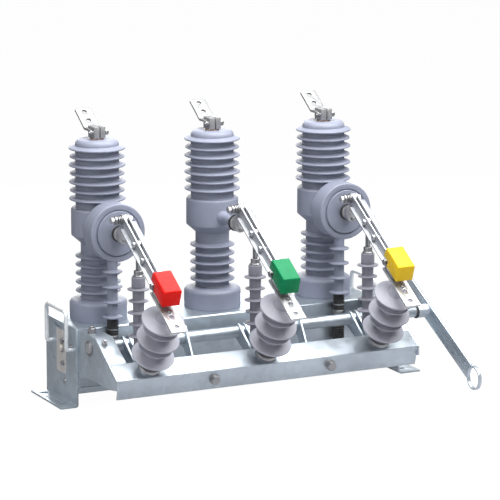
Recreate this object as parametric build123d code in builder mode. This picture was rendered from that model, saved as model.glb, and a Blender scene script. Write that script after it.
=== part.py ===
from build123d import *
import os
from math import cos, sin, sqrt, tan, radians

# Outdoor vacuum circuit breaker with a load-side isolating switch.
# Millimetres, +Z up, X along the row of poles, -Y towards the isolating switch.
# The origin is the centre of the four foot slots, on the underside of the feet.

# Row of poles
phase_spacing = 340.0
phase_names = ["a", "b", "c"]
transformer_phases = ["a", "c"]

# Mechanism box and its end plates
box_length = 890.0
box_depth = 208.0
box_top = 214.0
box_bottom = 38.0
box_edge_radius = 6.0
tray_height = 16.0
tray_lip = 2.0
sheet = 5.0
bend_radius = 3.0
root_overlap = 1.0

# Feet
foot_width = 46.0
foot_step = 50.0
foot_step_height = 60.0
foot_step_lap = 80.0
right_foot_width = 66.0
right_foot_forward = 57.0
foot_slot_inset = 25.0
foot_slot_width = 13.0
foot_slot_length = 26.0
foot_slot_spacing = 132.0
foot_hole = 11.0
foot_hole_inboard = 32.0

# Carry handles
handle_rod = 11.0
handle_width = 134.0
handle_y = -7.0
handle_stand_off = 16.0
handle_rise = 42.0
handle_foot_height = 152.0
handle_bend = 15.0
handle_foot_bend = 8.0

# Lock plate and charging shaft on the left end
lock_plate_width = 56.0
lock_plate_height = 116.0
lock_plate_sheet = 3.0
lock_plate_middle = 135.0
lock_plate_y = -4.0
charging_shaft_diameter = 20.0
charging_shaft_height = 146.0
charging_shaft_y = -13.0
charging_shaft_gap = 4.0
charging_shaft_proud = 8.0
charging_shaft_chamfer = 1.5
lock_slot_height = 9.0
lock_slot_length = 48.0
lock_slot_drop = 14.0
lock_slot_y = 20.0

# Poles: radii, and heights above the box top
base_ring_radius = 77.5
base_ring_height = 52.0
base_ring_round = 10.0
base_ring_crown = 6.0
lower_barrel_radius = 46.0
lower_shed_radius = 60.5
lower_shed_count = 5
lower_shed_first = 80.0
lower_shed_pitch = 23.75
cone_height = 208.0
body_bottom_height = 230.0
body_top_height = 304.0
body_radius = 71.0
shoulder_round = 12.0
upper_barrel_radius = 58.5
upper_shed_radius = 75.5
upper_shed_step = 2.5
upper_shed_count = 7
upper_shed_first = 331.0
upper_shed_pitch = 22.7
shed_root = 9.0
shed_rim = 3.5
shed_droop = 3.0
dome_height = 488.0
dome_round = 14.0

# Top terminals
stud_diameter = 22.0
stud_height = 4.0
clamp_width = 34.0
clamp_depth = 44.0
clamp_height = 30.0
clamp_slit = 3.0
lug_width = 46.0
lug_sheet = 6.0
lug_reach = 31.0
lug_drop = 7.0
lug_length = 76.0
lug_angle = 34.0
lug_hole = 13.0
lug_hole_first = 28.0
lug_hole_spacing = 34.0
lug_corner = 4.0
lug_bend_radius = 2.0

# Current transformers
ct_radius = 78.0
ct_height = 256.0
ct_front = 136.0
ct_depth = 58.0
ct_rim_round = 7.0
ct_neck_radius = 60.0
ct_disc_radius = 59.5
ct_disc_proud = 4.0

# Leads of the current transformers
lead_offset = -12.0
lead_inset = 14.5
lead_radius = 14.0
lead_shed_radius = 27.0
lead_shed_count = 4
lead_shed_first = 153.0
lead_shed_pitch = 41.0
lead_shed_root = 10.0
lead_shed_rim = 3.0
lead_bottom = 23.0
conduit_radius = 14.5
conduit_rib = 1.5
conduit_rib_width = 3.0
conduit_rib_pitch = 6.0
conduit_clamp_top = -20.0
conduit_end = -105.0
gland_radius = 16.5
gland_height = 16.0
gland_block_width = 26.0

# Hinge of the isolating switch, and the line that the blades and the frame lean along
lean = 31.5
hinge_y = -179.0
hinge_above_box = 301.0
outlet_diameter = 22.0
outlet_below_hinge = 44.0
outlet_end = -181.0
outlet_flare_radius = 17.0
outlet_flare_length = 16.0
hinge_clamp_height = 44.0
hinge_clamp_width = 34.0
hinge_clamp_thickness = 20.0
hinge_clamp_front = -176.0
ear_thickness = 8.0
ear_radius = 14.0
hinge_pin = 12.0
hinge_pin_left = 33.0
hinge_pin_right = 12.0
hinge_pin_head = 19.0
hinge_pin_head_height = 7.0
pin_clearance = 0.05

# Blades: two angle bars each
bar_gap = 10.0
bar_height = 28.0
bar_flange = 14.0
bar_sheet = 4.0
bar_length = 306.0
bar_flange_start = 24.0
tip_bolt_inset = 50.0
tip_bolt_left = 19.0
mid_bolt_reach = 160.0
blade_bolt = 10.0
blade_bolt_head = 16.0
blade_bolt_head_height = 7.0

# Phase caps over the blade tips
cap_lap = 60.0
cap_length = 78.0
cap_nose = 9.0
cap_width = 50.0
cap_top = 43.0
cap_wall = 3.0
cap_notch_length = 26.0
cap_notch_height = 16.0
cap_round = 3.0
cap_rib = 10.0

# Isolator frame
frame_drop = 235.0
frame_sheet = 4.0
beam_bend_radius = 1.0
gusset_flange = 50.0
gusset_bottom_rear = 80.0
gusset_heel_y = -171.0
gusset_heel_height = 95.0
gusset_toe_length = 40.0
gusset_toe_drop = 32.0
gusset_front_drop = 26.0
beam_past_post = 35.2
beam_top_width = 62.0
beam_apron_height = 54.0
beam_apron_lean = 15.0
support_spacing = 340.0
support_angle = 58.5
support_width = 38.0
support_rear = 11.0
support_above = 26.0
support_toe_height = 36.0
support_foot_lift = 4.0
support_toe_gap = 0.3

# Operating shaft, cranks and pull rods
shaft_diameter = 32.0
shaft_above_feet = 179.0
shaft_left_recess = 1.0
shaft_clearance = 0.05
crank_radius = 98.5
crank_sheet = 6.0
crank_hub = 44.0
crank_eye = 28.0
crank_pin = 10.0
crank_gap = 12.0
crank_pin_head = 4.0
tang_thickness = 8.0
tang_width = 24.0
rod_head_drop = 68.0
rod_head_tang_width = 14.0
rod_head_radius = 18.0
rod_head_height = 28.0
rod_ferrule_radius = 12.0
rod_ferrule_height = 17.0
rod_top_radius = 16.0
rod_bottom_radius = 13.5
rod_foot_ferrule = 1.0
rod_foot_height = 72.0
rod_shed_radius = 29.0
rod_shed_step = 3.0
rod_shed_count = 5
rod_shed_first = 94.5
rod_shed_pitch = 31.25
rod_shed_root = 9.0
rod_shed_rim = 3.0
open_pivot_clearance = 0.5

# Operating lever
lever_offset = 125.0
lever_angle = 27.3
lever_sheet = 6.0
lever_width = 48.0
lever_reach = 293.0
lever_tail = 170.0
lever_hub_radius = 19.0
lever_hub_left = 34.0
lever_hub_right = 3.0
ring_radius = 33.0
ring_bore = 57.0
ring_length = 9.0

# Post insulators
post_beyond_blade = 12.7
post_foot_radius = 30.0
post_foot_height = 10.0
post_core_radius = 27.0
post_tip_radius = 17.0
post_cone_radius = 24.0
post_shed_radius = 57.0
post_small_shed_radius = 46.0
post_shed_count = 3
post_shed_first = 51.0
post_shed_pitch = 62.0
post_shed_root = 14.0
post_shed_rim = 4.0
post_shed_rise = 2.0

# Static contacts
contact_width = 44.0
contact_sheet = 6.0
contact_drop = 19.0
contact_lap = 50.0
contact_length = 152.0
contact_hole_beyond = 45.0
contact_hole_spacing = 37.0
contact_hole = 13.0
knife_lap = 40.0
knife_length = 38.0
knife_thickness = 8.0
knife_top = 11.0

# Derived places
middle_x = -foot_step / 2
phase_x = {name: middle_x + (i - 1) * phase_spacing for i, name in enumerate(phase_names)}
box_front = -box_depth / 2
end_reach = box_length / 2 + sheet
left_end = middle_x - end_reach
right_end = middle_x + end_reach
right_web = right_end + foot_step
lever_x = right_end + lever_offset
lean_c = cos(radians(lean))
lean_s = sin(radians(lean))
hinge_z = box_top + hinge_above_box
shaft_y = hinge_y
crank_pin_y = shaft_y - crank_radius * lean_c
crank_pin_z = shaft_above_feet - crank_radius * lean_s
blade_pin_z = hinge_z - crank_radius * lean_s
outlet_z = hinge_z - outlet_below_hinge
ct_z = box_top + ct_height
lead_y = -ct_front + lead_inset
dome_z = box_top + dome_height
clamp_bottom = dome_z + stud_height
bar_offset = bar_gap / 2 + bar_sheet
tip_bolt_reach = bar_length - tip_bolt_inset
cap_start = bar_length - cap_lap
cap_end = cap_start + cap_length
post_reach = bar_length + post_beyond_blade


def lean_plane(x, reach=0.0, rise=0.0):
    """Plane across the machine: its X runs down the blade, its Y leans up and forward."""
    y = hinge_y - reach * lean_c - rise * lean_s
    z = hinge_z - reach * lean_s + rise * lean_c
    return Plane(origin=(x, y, z), x_dir=(0, -lean_c, -lean_s), z_dir=(-1, 0, 0))


def slope_height(y):
    """Height of the sloped top of the frame at a given Y."""
    return hinge_z - (frame_drop + (hinge_y - y) * lean_s) / lean_c


def save(part, name):
    part.label = name
    export_step(part, f"parts/{name}.step")


def shed(root_radius, rim_radius, height, root, rim, droop=0.0):
    """Adds one insulator shed to a half profile whose Y runs along the axis."""
    Polygon(
        (root_radius - root_overlap, height - root / 2),
        (rim_radius, height - rim / 2 - droop),
        (rim_radius, height + rim / 2 - droop),
        (root_radius - root_overlap, height + root / 2),
        align=None)


os.makedirs("parts", exist_ok=True)

# Mechanism box: closed housing with rounded top edges
with BuildPart() as mechanism_box:
    with BuildSketch(Plane.YZ.offset(middle_x - box_length / 2)) as box_section:
        with Locations((0, (box_top + box_bottom + tray_height) / 2)):
            Rectangle(box_depth, box_top - box_bottom - tray_height)
        fillet(box_section.vertices().group_by(Axis.Y)[-1], box_edge_radius)
    extrude(amount=box_length)
save(mechanism_box.part, "mechanism_box")

# Base tray that closes the box from below
with BuildPart() as box_base_tray:
    with Locations((middle_x, 0, box_bottom + tray_height / 2)):
        Box(box_length, box_depth + 2 * tray_lip, tray_height)
    fillet(box_base_tray.edges().filter_by(Axis.X).group_by(Axis.Z)[0], tray_lip)
save(box_base_tray.part, "box_base_tray")

# Left end plate, bent outwards at the bottom into a slotted foot
with BuildPart() as left_end_plate:
    with BuildSketch(Plane.XZ.offset(box_front)):
        with BuildLine():
            FilletPolyline(
                (left_end - foot_width, 0),
                (left_end + sheet, 0),
                (left_end + sheet, box_top),
                radius=bend_radius + sheet)
            offset(amount=sheet, side=Side.LEFT)
        make_face()
    extrude(amount=box_depth)
    with BuildSketch(Plane.XY):
        with Locations((left_end - foot_slot_inset, 0)):
            with GridLocations(0, foot_slot_spacing, 1, 2):
                SlotOverall(foot_slot_length, foot_slot_width)
        with Locations((left_end - foot_slot_inset, foot_hole_inboard - foot_slot_spacing / 2)):
            Circle(foot_hole / 2)
    extrude(amount=sheet, mode=Mode.SUBTRACT)
    with BuildSketch(Plane.YZ.offset(left_end)):
        with Locations((lock_slot_y, box_top - lock_slot_drop)):
            SlotOverall(lock_slot_length, lock_slot_height)
        with Locations((charging_shaft_y, charging_shaft_height)):
            Circle(charging_shaft_diameter / 2 + charging_shaft_gap)
    extrude(amount=sheet, mode=Mode.SUBTRACT)
save(left_end_plate.part, "left_end_plate")

# Right end plate
with BuildPart() as right_end_plate:
    with Locations((right_end - sheet / 2, 0, (box_top + box_bottom) / 2)):
        Box(sheet, box_depth, box_top - box_bottom)
save(right_end_plate.part, "right_end_plate")

# Right foot: a stepped bracket that stands further out, with a toe that runs forward past the box
with BuildPart() as right_foot_bracket:
    with BuildSketch(Plane.XZ.offset(box_front)):
        with BuildLine():
            FilletPolyline(
                (right_end + sheet, foot_step_height + foot_step_lap),
                (right_end + sheet, foot_step_height),
                (right_web, foot_step_height),
                (right_web, sheet),
                (right_web + right_foot_width, sheet),
                radius=bend_radius + sheet)
            offset(amount=sheet, side=Side.RIGHT)
        make_face()
    extrude(amount=box_depth)
    with BuildSketch(Plane.XZ.offset(-box_front)):
        with BuildLine():
            FilletPolyline(
                (right_web, foot_step_height - bend_radius - sheet),
                (right_web, sheet),
                (right_web + right_foot_width, sheet),
                radius=bend_radius + sheet)
            offset(amount=sheet, side=Side.RIGHT)
        make_face()
    extrude(amount=right_foot_forward)
    with BuildSketch(Plane.XY):
        with Locations((right_web + foot_slot_inset, 0)):
            with GridLocations(0, foot_slot_spacing, 1, 2):
                SlotOverall(foot_slot_length, foot_slot_width)
        with Locations((right_web + foot_slot_inset, -foot_slot_spacing / 2 - right_foot_forward)):
            SlotOverall(foot_slot_length, foot_slot_width)
    extrude(amount=sheet, mode=Mode.SUBTRACT)
save(right_foot_bracket.part, "right_foot_bracket")

# Carry handles: bent rod whose ends are welded to the end plates
for side, wall_x, out in (("left", left_end, -1), ("right", right_end, 1)):
    with BuildPart() as carry_handle:
        bar_x = wall_x + out * handle_stand_off
        front_y = handle_y - handle_width / 2
        rear_y = handle_y + handle_width / 2
        with BuildLine() as handle_path:
            FilletPolyline(
                (wall_x, front_y, handle_foot_height),
                (bar_x, front_y, handle_foot_height),
                (bar_x, front_y, box_top + handle_rise),
                (bar_x, rear_y, box_top + handle_rise),
                (bar_x, rear_y, handle_foot_height),
                (wall_x, rear_y, handle_foot_height),
                radius=[handle_foot_bend, handle_bend, handle_bend, handle_foot_bend])
        with BuildSketch(Plane(origin=(wall_x, front_y, handle_foot_height), z_dir=(out, 0, 0))):
            Circle(handle_rod / 2)
        sweep(path=handle_path.wires()[0])
    save(carry_handle.part, f"{side}_carry_handle")

# Lock plate on the left end plate, with a hole for the charging shaft
with BuildPart() as lock_plate:
    with BuildSketch(Plane.YZ.offset(left_end)):
        with Locations((lock_plate_y, lock_plate_middle)):
            Rectangle(lock_plate_width, lock_plate_height)
        with Locations((charging_shaft_y, charging_shaft_height)):
            Circle(charging_shaft_diameter / 2 + charging_shaft_gap, mode=Mode.SUBTRACT)
    extrude(amount=-lock_plate_sheet)
save(lock_plate.part, "lock_plate")

# Charging shaft: a stub that comes out of the box through both plates
with BuildPart() as charging_shaft:
    with BuildSketch(Plane.YZ.offset(left_end + sheet)):
        with Locations((charging_shaft_y, charging_shaft_height)):
            Circle(charging_shaft_diameter / 2)
    extrude(amount=-(sheet + lock_plate_sheet + charging_shaft_proud))
    chamfer(charging_shaft.faces().sort_by(Axis.X)[0].edges(), charging_shaft_chamfer)
save(charging_shaft.part, "charging_shaft")

# Gussets: end plates of the isolator frame, each with a flange turned inwards along its top
bend_y = hinge_y - ((hinge_z - box_top) * lean_c - frame_drop) / lean_s
beam_front_y = hinge_y - (post_reach + beam_past_post) * lean_c + frame_drop * lean_s
beam_rear_y = beam_front_y + beam_top_width * lean_c
apron_top_z = slope_height(beam_front_y)
beam_bottom = apron_top_z - beam_apron_height
gusset_left = left_end + sheet
for side, outer_x, inward in (("left", gusset_left, 1), ("right", right_end, -1)):
    with BuildPart() as gusset:
        with BuildSketch(Plane.YZ.offset(outer_x)):
            with BuildLine():
                Polyline(
                    (box_front, box_top),
                    (bend_y, box_top),
                    (beam_front_y, apron_top_z),
                    (beam_front_y, apron_top_z - gusset_front_drop),
                    (beam_front_y + gusset_toe_length, apron_top_z - gusset_toe_drop),
                    (gusset_heel_y, gusset_heel_height),
                    (box_front, gusset_bottom_rear),
                    close=True)
            make_face()
            with Locations((shaft_y, shaft_above_feet)):
                Circle(shaft_diameter / 2 + shaft_clearance, mode=Mode.SUBTRACT)
        extrude(amount=inward * sheet)
        with BuildSketch(Plane.YZ.offset(outer_x)):
            with BuildLine():
                Polyline(
                    (box_front, box_top),
                    (bend_y, box_top),
                    (beam_rear_y, slope_height(beam_rear_y)))
                offset(amount=frame_sheet, side=Side.LEFT)
            make_face()
        extrude(amount=inward * gusset_flange)
    save(gusset.part, f"{side}_gusset")

# Front beam: bent sheet with a sloped top and a leaning front apron
apron_slope = tan(radians(beam_apron_lean))
apron_bottom_y = beam_front_y + (apron_top_z - beam_bottom) * apron_slope
with BuildPart() as front_beam:
    with BuildSketch(Plane.YZ.offset(gusset_left + sheet)):
        with BuildLine():
            FilletPolyline(
                (apron_bottom_y, beam_bottom),
                (beam_front_y, apron_top_z),
                (beam_rear_y, slope_height(beam_rear_y)),
                radius=frame_sheet + beam_bend_radius)
            offset(amount=frame_sheet, side=Side.RIGHT)
        make_face()
    extrude(amount=right_end - gusset_left - 2 * sheet)
save(front_beam.part, "front_beam")

# Shaft support plates: struts that rise from inside the beam to the operating shaft
strut_c = cos(radians(support_angle))
strut_s = sin(radians(support_angle))
strut_foot_z = beam_bottom + support_foot_lift
strut_length = (shaft_above_feet - strut_foot_z) / strut_s + support_width
toe_top_z = strut_foot_z + support_toe_height
toe_gap = frame_sheet + support_toe_gap
with BuildPart() as shaft_support_plates:
    for support_x in (middle_x - support_spacing / 2, middle_x + support_spacing / 2):
        strut_plane = Plane(
            origin=(support_x + sheet / 2, shaft_y, shaft_above_feet),
            x_dir=(0, -strut_c, -strut_s),
            z_dir=(-1, 0, 0))
        with BuildSketch(strut_plane):
            with Locations(((strut_length - support_above) / 2, support_width / 2 - support_rear)):
                Rectangle(strut_length + support_above, support_width)
            Circle(shaft_diameter / 2 + support_rear)
            Circle(shaft_diameter / 2 + shaft_clearance, mode=Mode.SUBTRACT)
        extrude(amount=sheet)
        with BuildSketch(Plane.YZ.offset(support_x - sheet / 2)):
            with BuildLine():
                Polyline(
                    (beam_front_y + (apron_top_z - strut_foot_z) * apron_slope + toe_gap, strut_foot_z),
                    (beam_front_y + (apron_top_z - toe_top_z) * apron_slope + toe_gap, toe_top_z),
                    (shaft_y - (shaft_above_feet - toe_top_z) * strut_c / strut_s, toe_top_z),
                    (shaft_y - (shaft_above_feet - strut_foot_z) * strut_c / strut_s, strut_foot_z),
                    close=True)
            make_face()
        extrude(amount=sheet)
    split(bisect_by=Plane.XY.offset(strut_foot_z), keep=Keep.TOP)
save(shaft_support_plates.part, "shaft_support_plates")

# Poles: resin castings with sheds, one turned form each
outlet_start = hinge_clamp_front + hinge_clamp_thickness
for name in phase_names:
    x = phase_x[name]
    with BuildPart() as pole:
        with BuildSketch(Plane(origin=(x, 0, box_top), x_dir=(1, 0, 0), z_dir=(0, -1, 0))):
            with BuildLine():
                FilletPolyline(
                    (0, 0),
                    (base_ring_radius, 0),
                    (base_ring_radius, base_ring_height),
                    (lower_barrel_radius, base_ring_height + base_ring_crown),
                    (lower_barrel_radius, cone_height),
                    (body_radius, body_bottom_height),
                    (body_radius, body_top_height),
                    (upper_barrel_radius, body_top_height),
                    (upper_barrel_radius, dome_height),
                    (0, dome_height),
                    radius=[0, 0, base_ring_round, 0, 0, 0, shoulder_round, 0, dome_round, 0],
                    close=True)
            make_face()
            for i in range(lower_shed_count):
                height = lower_shed_first + i * lower_shed_pitch
                shed(lower_barrel_radius, lower_shed_radius, height, shed_root, shed_rim, shed_droop)
            for i in range(upper_shed_count):
                height = upper_shed_first + i * upper_shed_pitch
                radius = upper_shed_radius - upper_shed_step * (i % 2)
                shed(upper_barrel_radius, radius, height, shed_root, shed_rim, shed_droop)
        revolve(axis=Axis((x, 0, 0), (0, 0, 1)))
        if name not in transformer_phases:
            with BuildSketch(Plane(origin=(x, 0, outlet_z), x_dir=(1, 0, 0), z_dir=(0, 0, 1))):
                with BuildLine():
                    Polyline(
                        (0, -body_radius / 2),
                        (outlet_flare_radius, -body_radius / 2),
                        (outlet_flare_radius, -body_radius),
                        (outlet_diameter / 2, -body_radius - outlet_flare_length),
                        (outlet_diameter / 2, outlet_start),
                        (0, outlet_start),
                        close=True)
                make_face()
            revolve(axis=Axis((x, 0, outlet_z), (0, 1, 0)))
    save(pole.part, f"pole_{name}")

# Top terminals: a split clamp on the stud, with a bent lug for the line
lug_top = clamp_bottom + clamp_height - lug_drop
lug_c = cos(radians(lug_angle))
lug_s = sin(radians(lug_angle))
for name in phase_names:
    x = phase_x[name]
    with BuildPart() as top_terminal:
        with BuildSketch(Plane.XY.offset(dome_z)):
            with Locations((x, 0)):
                Circle(stud_diameter / 2)
        extrude(amount=stud_height)
        with BuildSketch(Plane.XY.offset(clamp_bottom)) as clamp_outline:
            with Locations((x, 0)):
                Rectangle(clamp_width, clamp_depth)
            fillet(clamp_outline.vertices(), lug_corner)
            with Locations((x, -clamp_depth / 2)):
                Rectangle(clamp_slit, clamp_depth, mode=Mode.SUBTRACT)
        extrude(amount=clamp_height)
        with BuildSketch(Plane.YZ.offset(x - lug_width / 2)):
            with BuildLine():
                FilletPolyline(
                    (0, lug_top),
                    (lug_reach, lug_top),
                    (lug_reach + lug_length * lug_c, lug_top + lug_length * lug_s),
                    radius=lug_bend_radius)
                offset(amount=lug_sheet, side=Side.RIGHT)
            make_face()
        extrude(amount=lug_width)
        lug_face = Plane(
            origin=(x, lug_reach, lug_top), x_dir=(1, 0, 0), z_dir=(0, -lug_s, lug_c))
        tip_edges = top_terminal.edges().filter_by(Axis((0, 0, 0), (0, -lug_s, lug_c)))
        fillet(tip_edges.group_by(Axis.Y)[-1], lug_corner)
        with Locations(lug_face):
            with Locations((0, lug_hole_first), (0, lug_hole_first + lug_hole_spacing)):
                Hole(lug_hole / 2)
    save(top_terminal.part, f"top_terminal_{name}")

# Current transformers: drums round the outlet of the outer poles
for name in transformer_phases:
    x = phase_x[name]
    with BuildPart() as current_transformer:
        with BuildSketch(Plane(origin=(x, 0, ct_z), x_dir=(1, 0, 0), z_dir=(0, 0, 1))):
            with BuildLine():
                FilletPolyline(
                    (0, -ct_front - ct_disc_proud),
                    (ct_disc_radius, -ct_front - ct_disc_proud),
                    (ct_disc_radius, -ct_front),
                    (ct_radius, -ct_front),
                    (ct_radius, -ct_front + ct_depth),
                    (ct_neck_radius, -ct_front + ct_depth),
                    (ct_neck_radius, 0),
                    (0, 0),
                    radius=[0, 0, 0, ct_rim_round, ct_rim_round, 0, 0, 0],
                    close=True)
            make_face()
        revolve(axis=Axis((x, 0, ct_z), (0, 1, 0)))
        with BuildSketch(Plane(origin=(x, -ct_front, outlet_z), z_dir=(0, -1, 0))):
            Circle(outlet_diameter / 2)
        extrude(amount=-ct_front - outlet_start)
        with Locations((x, 0, ct_z)):
            Cylinder(body_radius, 2 * ct_radius, mode=Mode.SUBTRACT)
    save(current_transformer.part, f"current_transformer_{name}")

# Leads of the current transformers: a shedded resin bushing, then a ribbed conduit with two clamps
for name in transformer_phases:
    x = phase_x[name] + lead_offset
    lead_top = ct_height - sqrt(ct_radius ** 2 - (abs(lead_offset) + lead_radius) ** 2)
    with BuildPart() as ct_lead:
        with BuildSketch(Plane(origin=(x, lead_y, box_top), x_dir=(1, 0, 0), z_dir=(0, -1, 0))):
            with Locations((0, lead_bottom)):
                Rectangle(lead_radius, lead_top - lead_bottom, align=(Align.MIN, Align.MIN))
            for i in range(lead_shed_count):
                height = lead_shed_first - i * lead_shed_pitch
                shed(lead_radius, lead_shed_radius, height, lead_shed_root, lead_shed_rim)
        revolve(axis=Axis((x, lead_y, 0), (0, 0, 1)))
        with Locations(Plane(origin=(phase_x[name], lead_y, ct_z), z_dir=(0, -1, 0))):
            Cylinder(ct_radius, 4 * lead_radius, mode=Mode.SUBTRACT)
    save(ct_lead.part, f"ct_lead_{name}")

    with BuildPart() as lead_conduit:
        with BuildSketch(Plane(origin=(x, lead_y, box_top), x_dir=(1, 0, 0), z_dir=(0, -1, 0))):
            with Locations((0, conduit_end)):
                Rectangle(conduit_radius, lead_bottom - conduit_end, align=(Align.MIN, Align.MIN))
            for i in range(int((lead_bottom - conduit_end) / conduit_rib_pitch)):
                with Locations((0, lead_bottom - (i + 0.5) * conduit_rib_pitch)):
                    Rectangle(
                        conduit_radius + conduit_rib, conduit_rib_width, align=(Align.MIN, Align.CENTER))
            with Locations((0, conduit_clamp_top), (0, conduit_end)):
                Rectangle(gland_radius, gland_height, align=(Align.MIN, Align.MAX))
        revolve(axis=Axis((x, lead_y, 0), (0, 0, 1)))
        for clamp_top in (conduit_clamp_top, conduit_end):
            with Locations((x, (lead_y + box_front) / 2, box_top + clamp_top - gland_height / 2)):
                Box(gland_block_width, box_front - lead_y, gland_height)
    save(lead_conduit.part, f"lead_conduit_{name}")

# Hinge terminals: a clamp on the outlet with one ear and the hinge pin through it
for name in phase_names:
    x = phase_x[name]
    with BuildPart() as hinge_terminal:
        with BuildSketch(Plane(origin=(x, outlet_start, outlet_z), x_dir=(1, 0, 0), z_dir=(0, -1, 0))):
            SlotOverall(hinge_clamp_height, hinge_clamp_width, rotation=90)
        extrude(amount=hinge_clamp_thickness)
        with BuildSketch(Plane(origin=(x, hinge_clamp_front, outlet_z), z_dir=(0, -1, 0))):
            Circle(outlet_diameter / 2)
        extrude(amount=hinge_clamp_front - outlet_end)
        with BuildSketch(Plane.YZ.offset(x - ear_thickness / 2)):
            with Locations((hinge_y, hinge_z)):
                Circle(ear_radius)
            with Locations((hinge_clamp_front + hinge_clamp_thickness / 2, outlet_z)):
                Rectangle(hinge_clamp_thickness, hinge_clamp_height / 2)
            make_hull()
        extrude(amount=ear_thickness)
        with BuildSketch(Plane.YZ.offset(x - hinge_pin_left)):
            with Locations((hinge_y, hinge_z)):
                Circle(hinge_pin / 2)
        extrude(amount=hinge_pin_left + hinge_pin_right)
        for head_x in (x - hinge_pin_left - hinge_pin_head_height, x + hinge_pin_right):
            with BuildSketch(Plane.YZ.offset(head_x)):
                with Locations((hinge_y, hinge_z)):
                    RegularPolygon(hinge_pin_head / 2, 6)
            extrude(amount=hinge_pin_head_height)
    save(hinge_terminal.part, f"hinge_terminal_{name}")

# Blades: two angle bars back to back, turned about the blade so that their flanges point apart
flange_reach = bar_flange - bar_sheet
for name in phase_names:
    x = phase_x[name]
    with BuildPart() as blade:
        for web_x in (x - bar_gap / 2, x + bar_offset):
            with BuildSketch(lean_plane(web_x)):
                with Locations((bar_length / 2, 0)):
                    Rectangle(bar_length, bar_height)
                Circle(bar_height / 2)
                Circle(hinge_pin / 2 + pin_clearance, mode=Mode.SUBTRACT)
            extrude(amount=bar_sheet)
        flange_rise = (bar_height - bar_sheet) / 2
        flange_places = ((x - bar_offset, -flange_rise), (x + bar_offset + flange_reach, flange_rise))
        for flange_x, rise in flange_places:
            with BuildSketch(lean_plane(flange_x)):
                with Locations(((bar_flange_start + bar_length) / 2, rise)):
                    Rectangle(bar_length - bar_flange_start, bar_sheet)
            extrude(amount=flange_reach)
        for reach in (crank_radius, mid_bolt_reach, tip_bolt_reach):
            left_reach = tip_bolt_left if reach == tip_bolt_reach else bar_offset
            with BuildSketch(lean_plane(x + bar_offset, reach)):
                Circle(blade_bolt / 2)
            extrude(amount=bar_offset + left_reach)
            for head_x in (x - left_reach, x + bar_offset + blade_bolt_head_height):
                with BuildSketch(lean_plane(head_x, reach)):
                    RegularPolygon(blade_bolt_head / 2, 6)
                extrude(amount=blade_bolt_head_height)
    save(blade.part, f"blade_{name}")

# Phase caps: coloured covers over the blade tips, open below and behind
for name in phase_names:
    x = phase_x[name]
    with BuildPart() as phase_cap:
        with BuildSketch(lean_plane(x + cap_width / 2)):
            with BuildLine():
                Polyline(
                    (cap_start, 0),
                    (cap_end + cap_nose, 0),
                    (cap_end, cap_top),
                    (cap_start, cap_top),
                    close=True)
            make_face()
        extrude(amount=cap_width)
        fillet(phase_cap.faces().sort_by(Axis((0, 0, 0), (0, -lean_s, lean_c)))[-1].edges(), cap_round)
        with BuildSketch(lean_plane(x + cap_width / 2 - cap_wall)):
            with BuildLine():
                Polyline(
                    (cap_start - cap_wall, -cap_wall),
                    (cap_end + cap_nose - cap_wall, -cap_wall),
                    (cap_end - cap_wall, cap_top - cap_wall),
                    (cap_start - cap_wall, cap_top - cap_wall),
                    close=True)
            make_face()
        extrude(amount=cap_width - 2 * cap_wall, mode=Mode.SUBTRACT)
        with BuildSketch(lean_plane(x + cap_width / 2)):
            with Locations((cap_start, 0)):
                Rectangle(2 * cap_notch_length, 2 * cap_notch_height)
        extrude(amount=cap_width, mode=Mode.SUBTRACT)
        with BuildSketch(lean_plane(x + bar_offset + cap_rib / 2 + cap_wall / 2)):
            with Locations(((cap_start + cap_notch_length + cap_end) / 2, (bar_height + 2 * cap_top) / 4)):
                Rectangle(cap_end - cap_start - 2 * cap_notch_length, cap_top - bar_height / 2)
        extrude(amount=cap_wall)
    save(phase_cap.part, f"phase_cap_{name}")

# Operating shaft with a pair of cranks and a pin at each pole
lean_crank = (crank_radius, 0)
with BuildPart() as operating_shaft:
    with BuildSketch(Plane.YZ.offset(gusset_left + shaft_left_recess)):
        with Locations((shaft_y, shaft_above_feet)):
            Circle(shaft_diameter / 2)
    extrude(amount=lever_x + lever_hub_right - gusset_left - shaft_left_recess)
    for x in phase_x.values():
        for crank_x in (x - crank_gap / 2, x + crank_gap / 2 + crank_sheet):
            crank_plane = Plane(
                origin=(crank_x, shaft_y, shaft_above_feet), x_dir=(0, -lean_c, -lean_s), z_dir=(-1, 0, 0))
            with BuildSketch(crank_plane):
                Circle(crank_hub / 2)
                with Locations(lean_crank):
                    Circle(crank_eye / 2)
                make_hull()
            extrude(amount=crank_sheet)
        pin_half = crank_gap / 2 + crank_sheet + crank_pin_head
        with BuildSketch(Plane.YZ.offset(x - pin_half)):
            with Locations((crank_pin_y, crank_pin_z)):
                Circle(crank_pin / 2)
        extrude(amount=2 * pin_half)
save(operating_shaft.part, "operating_shaft")

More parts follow.
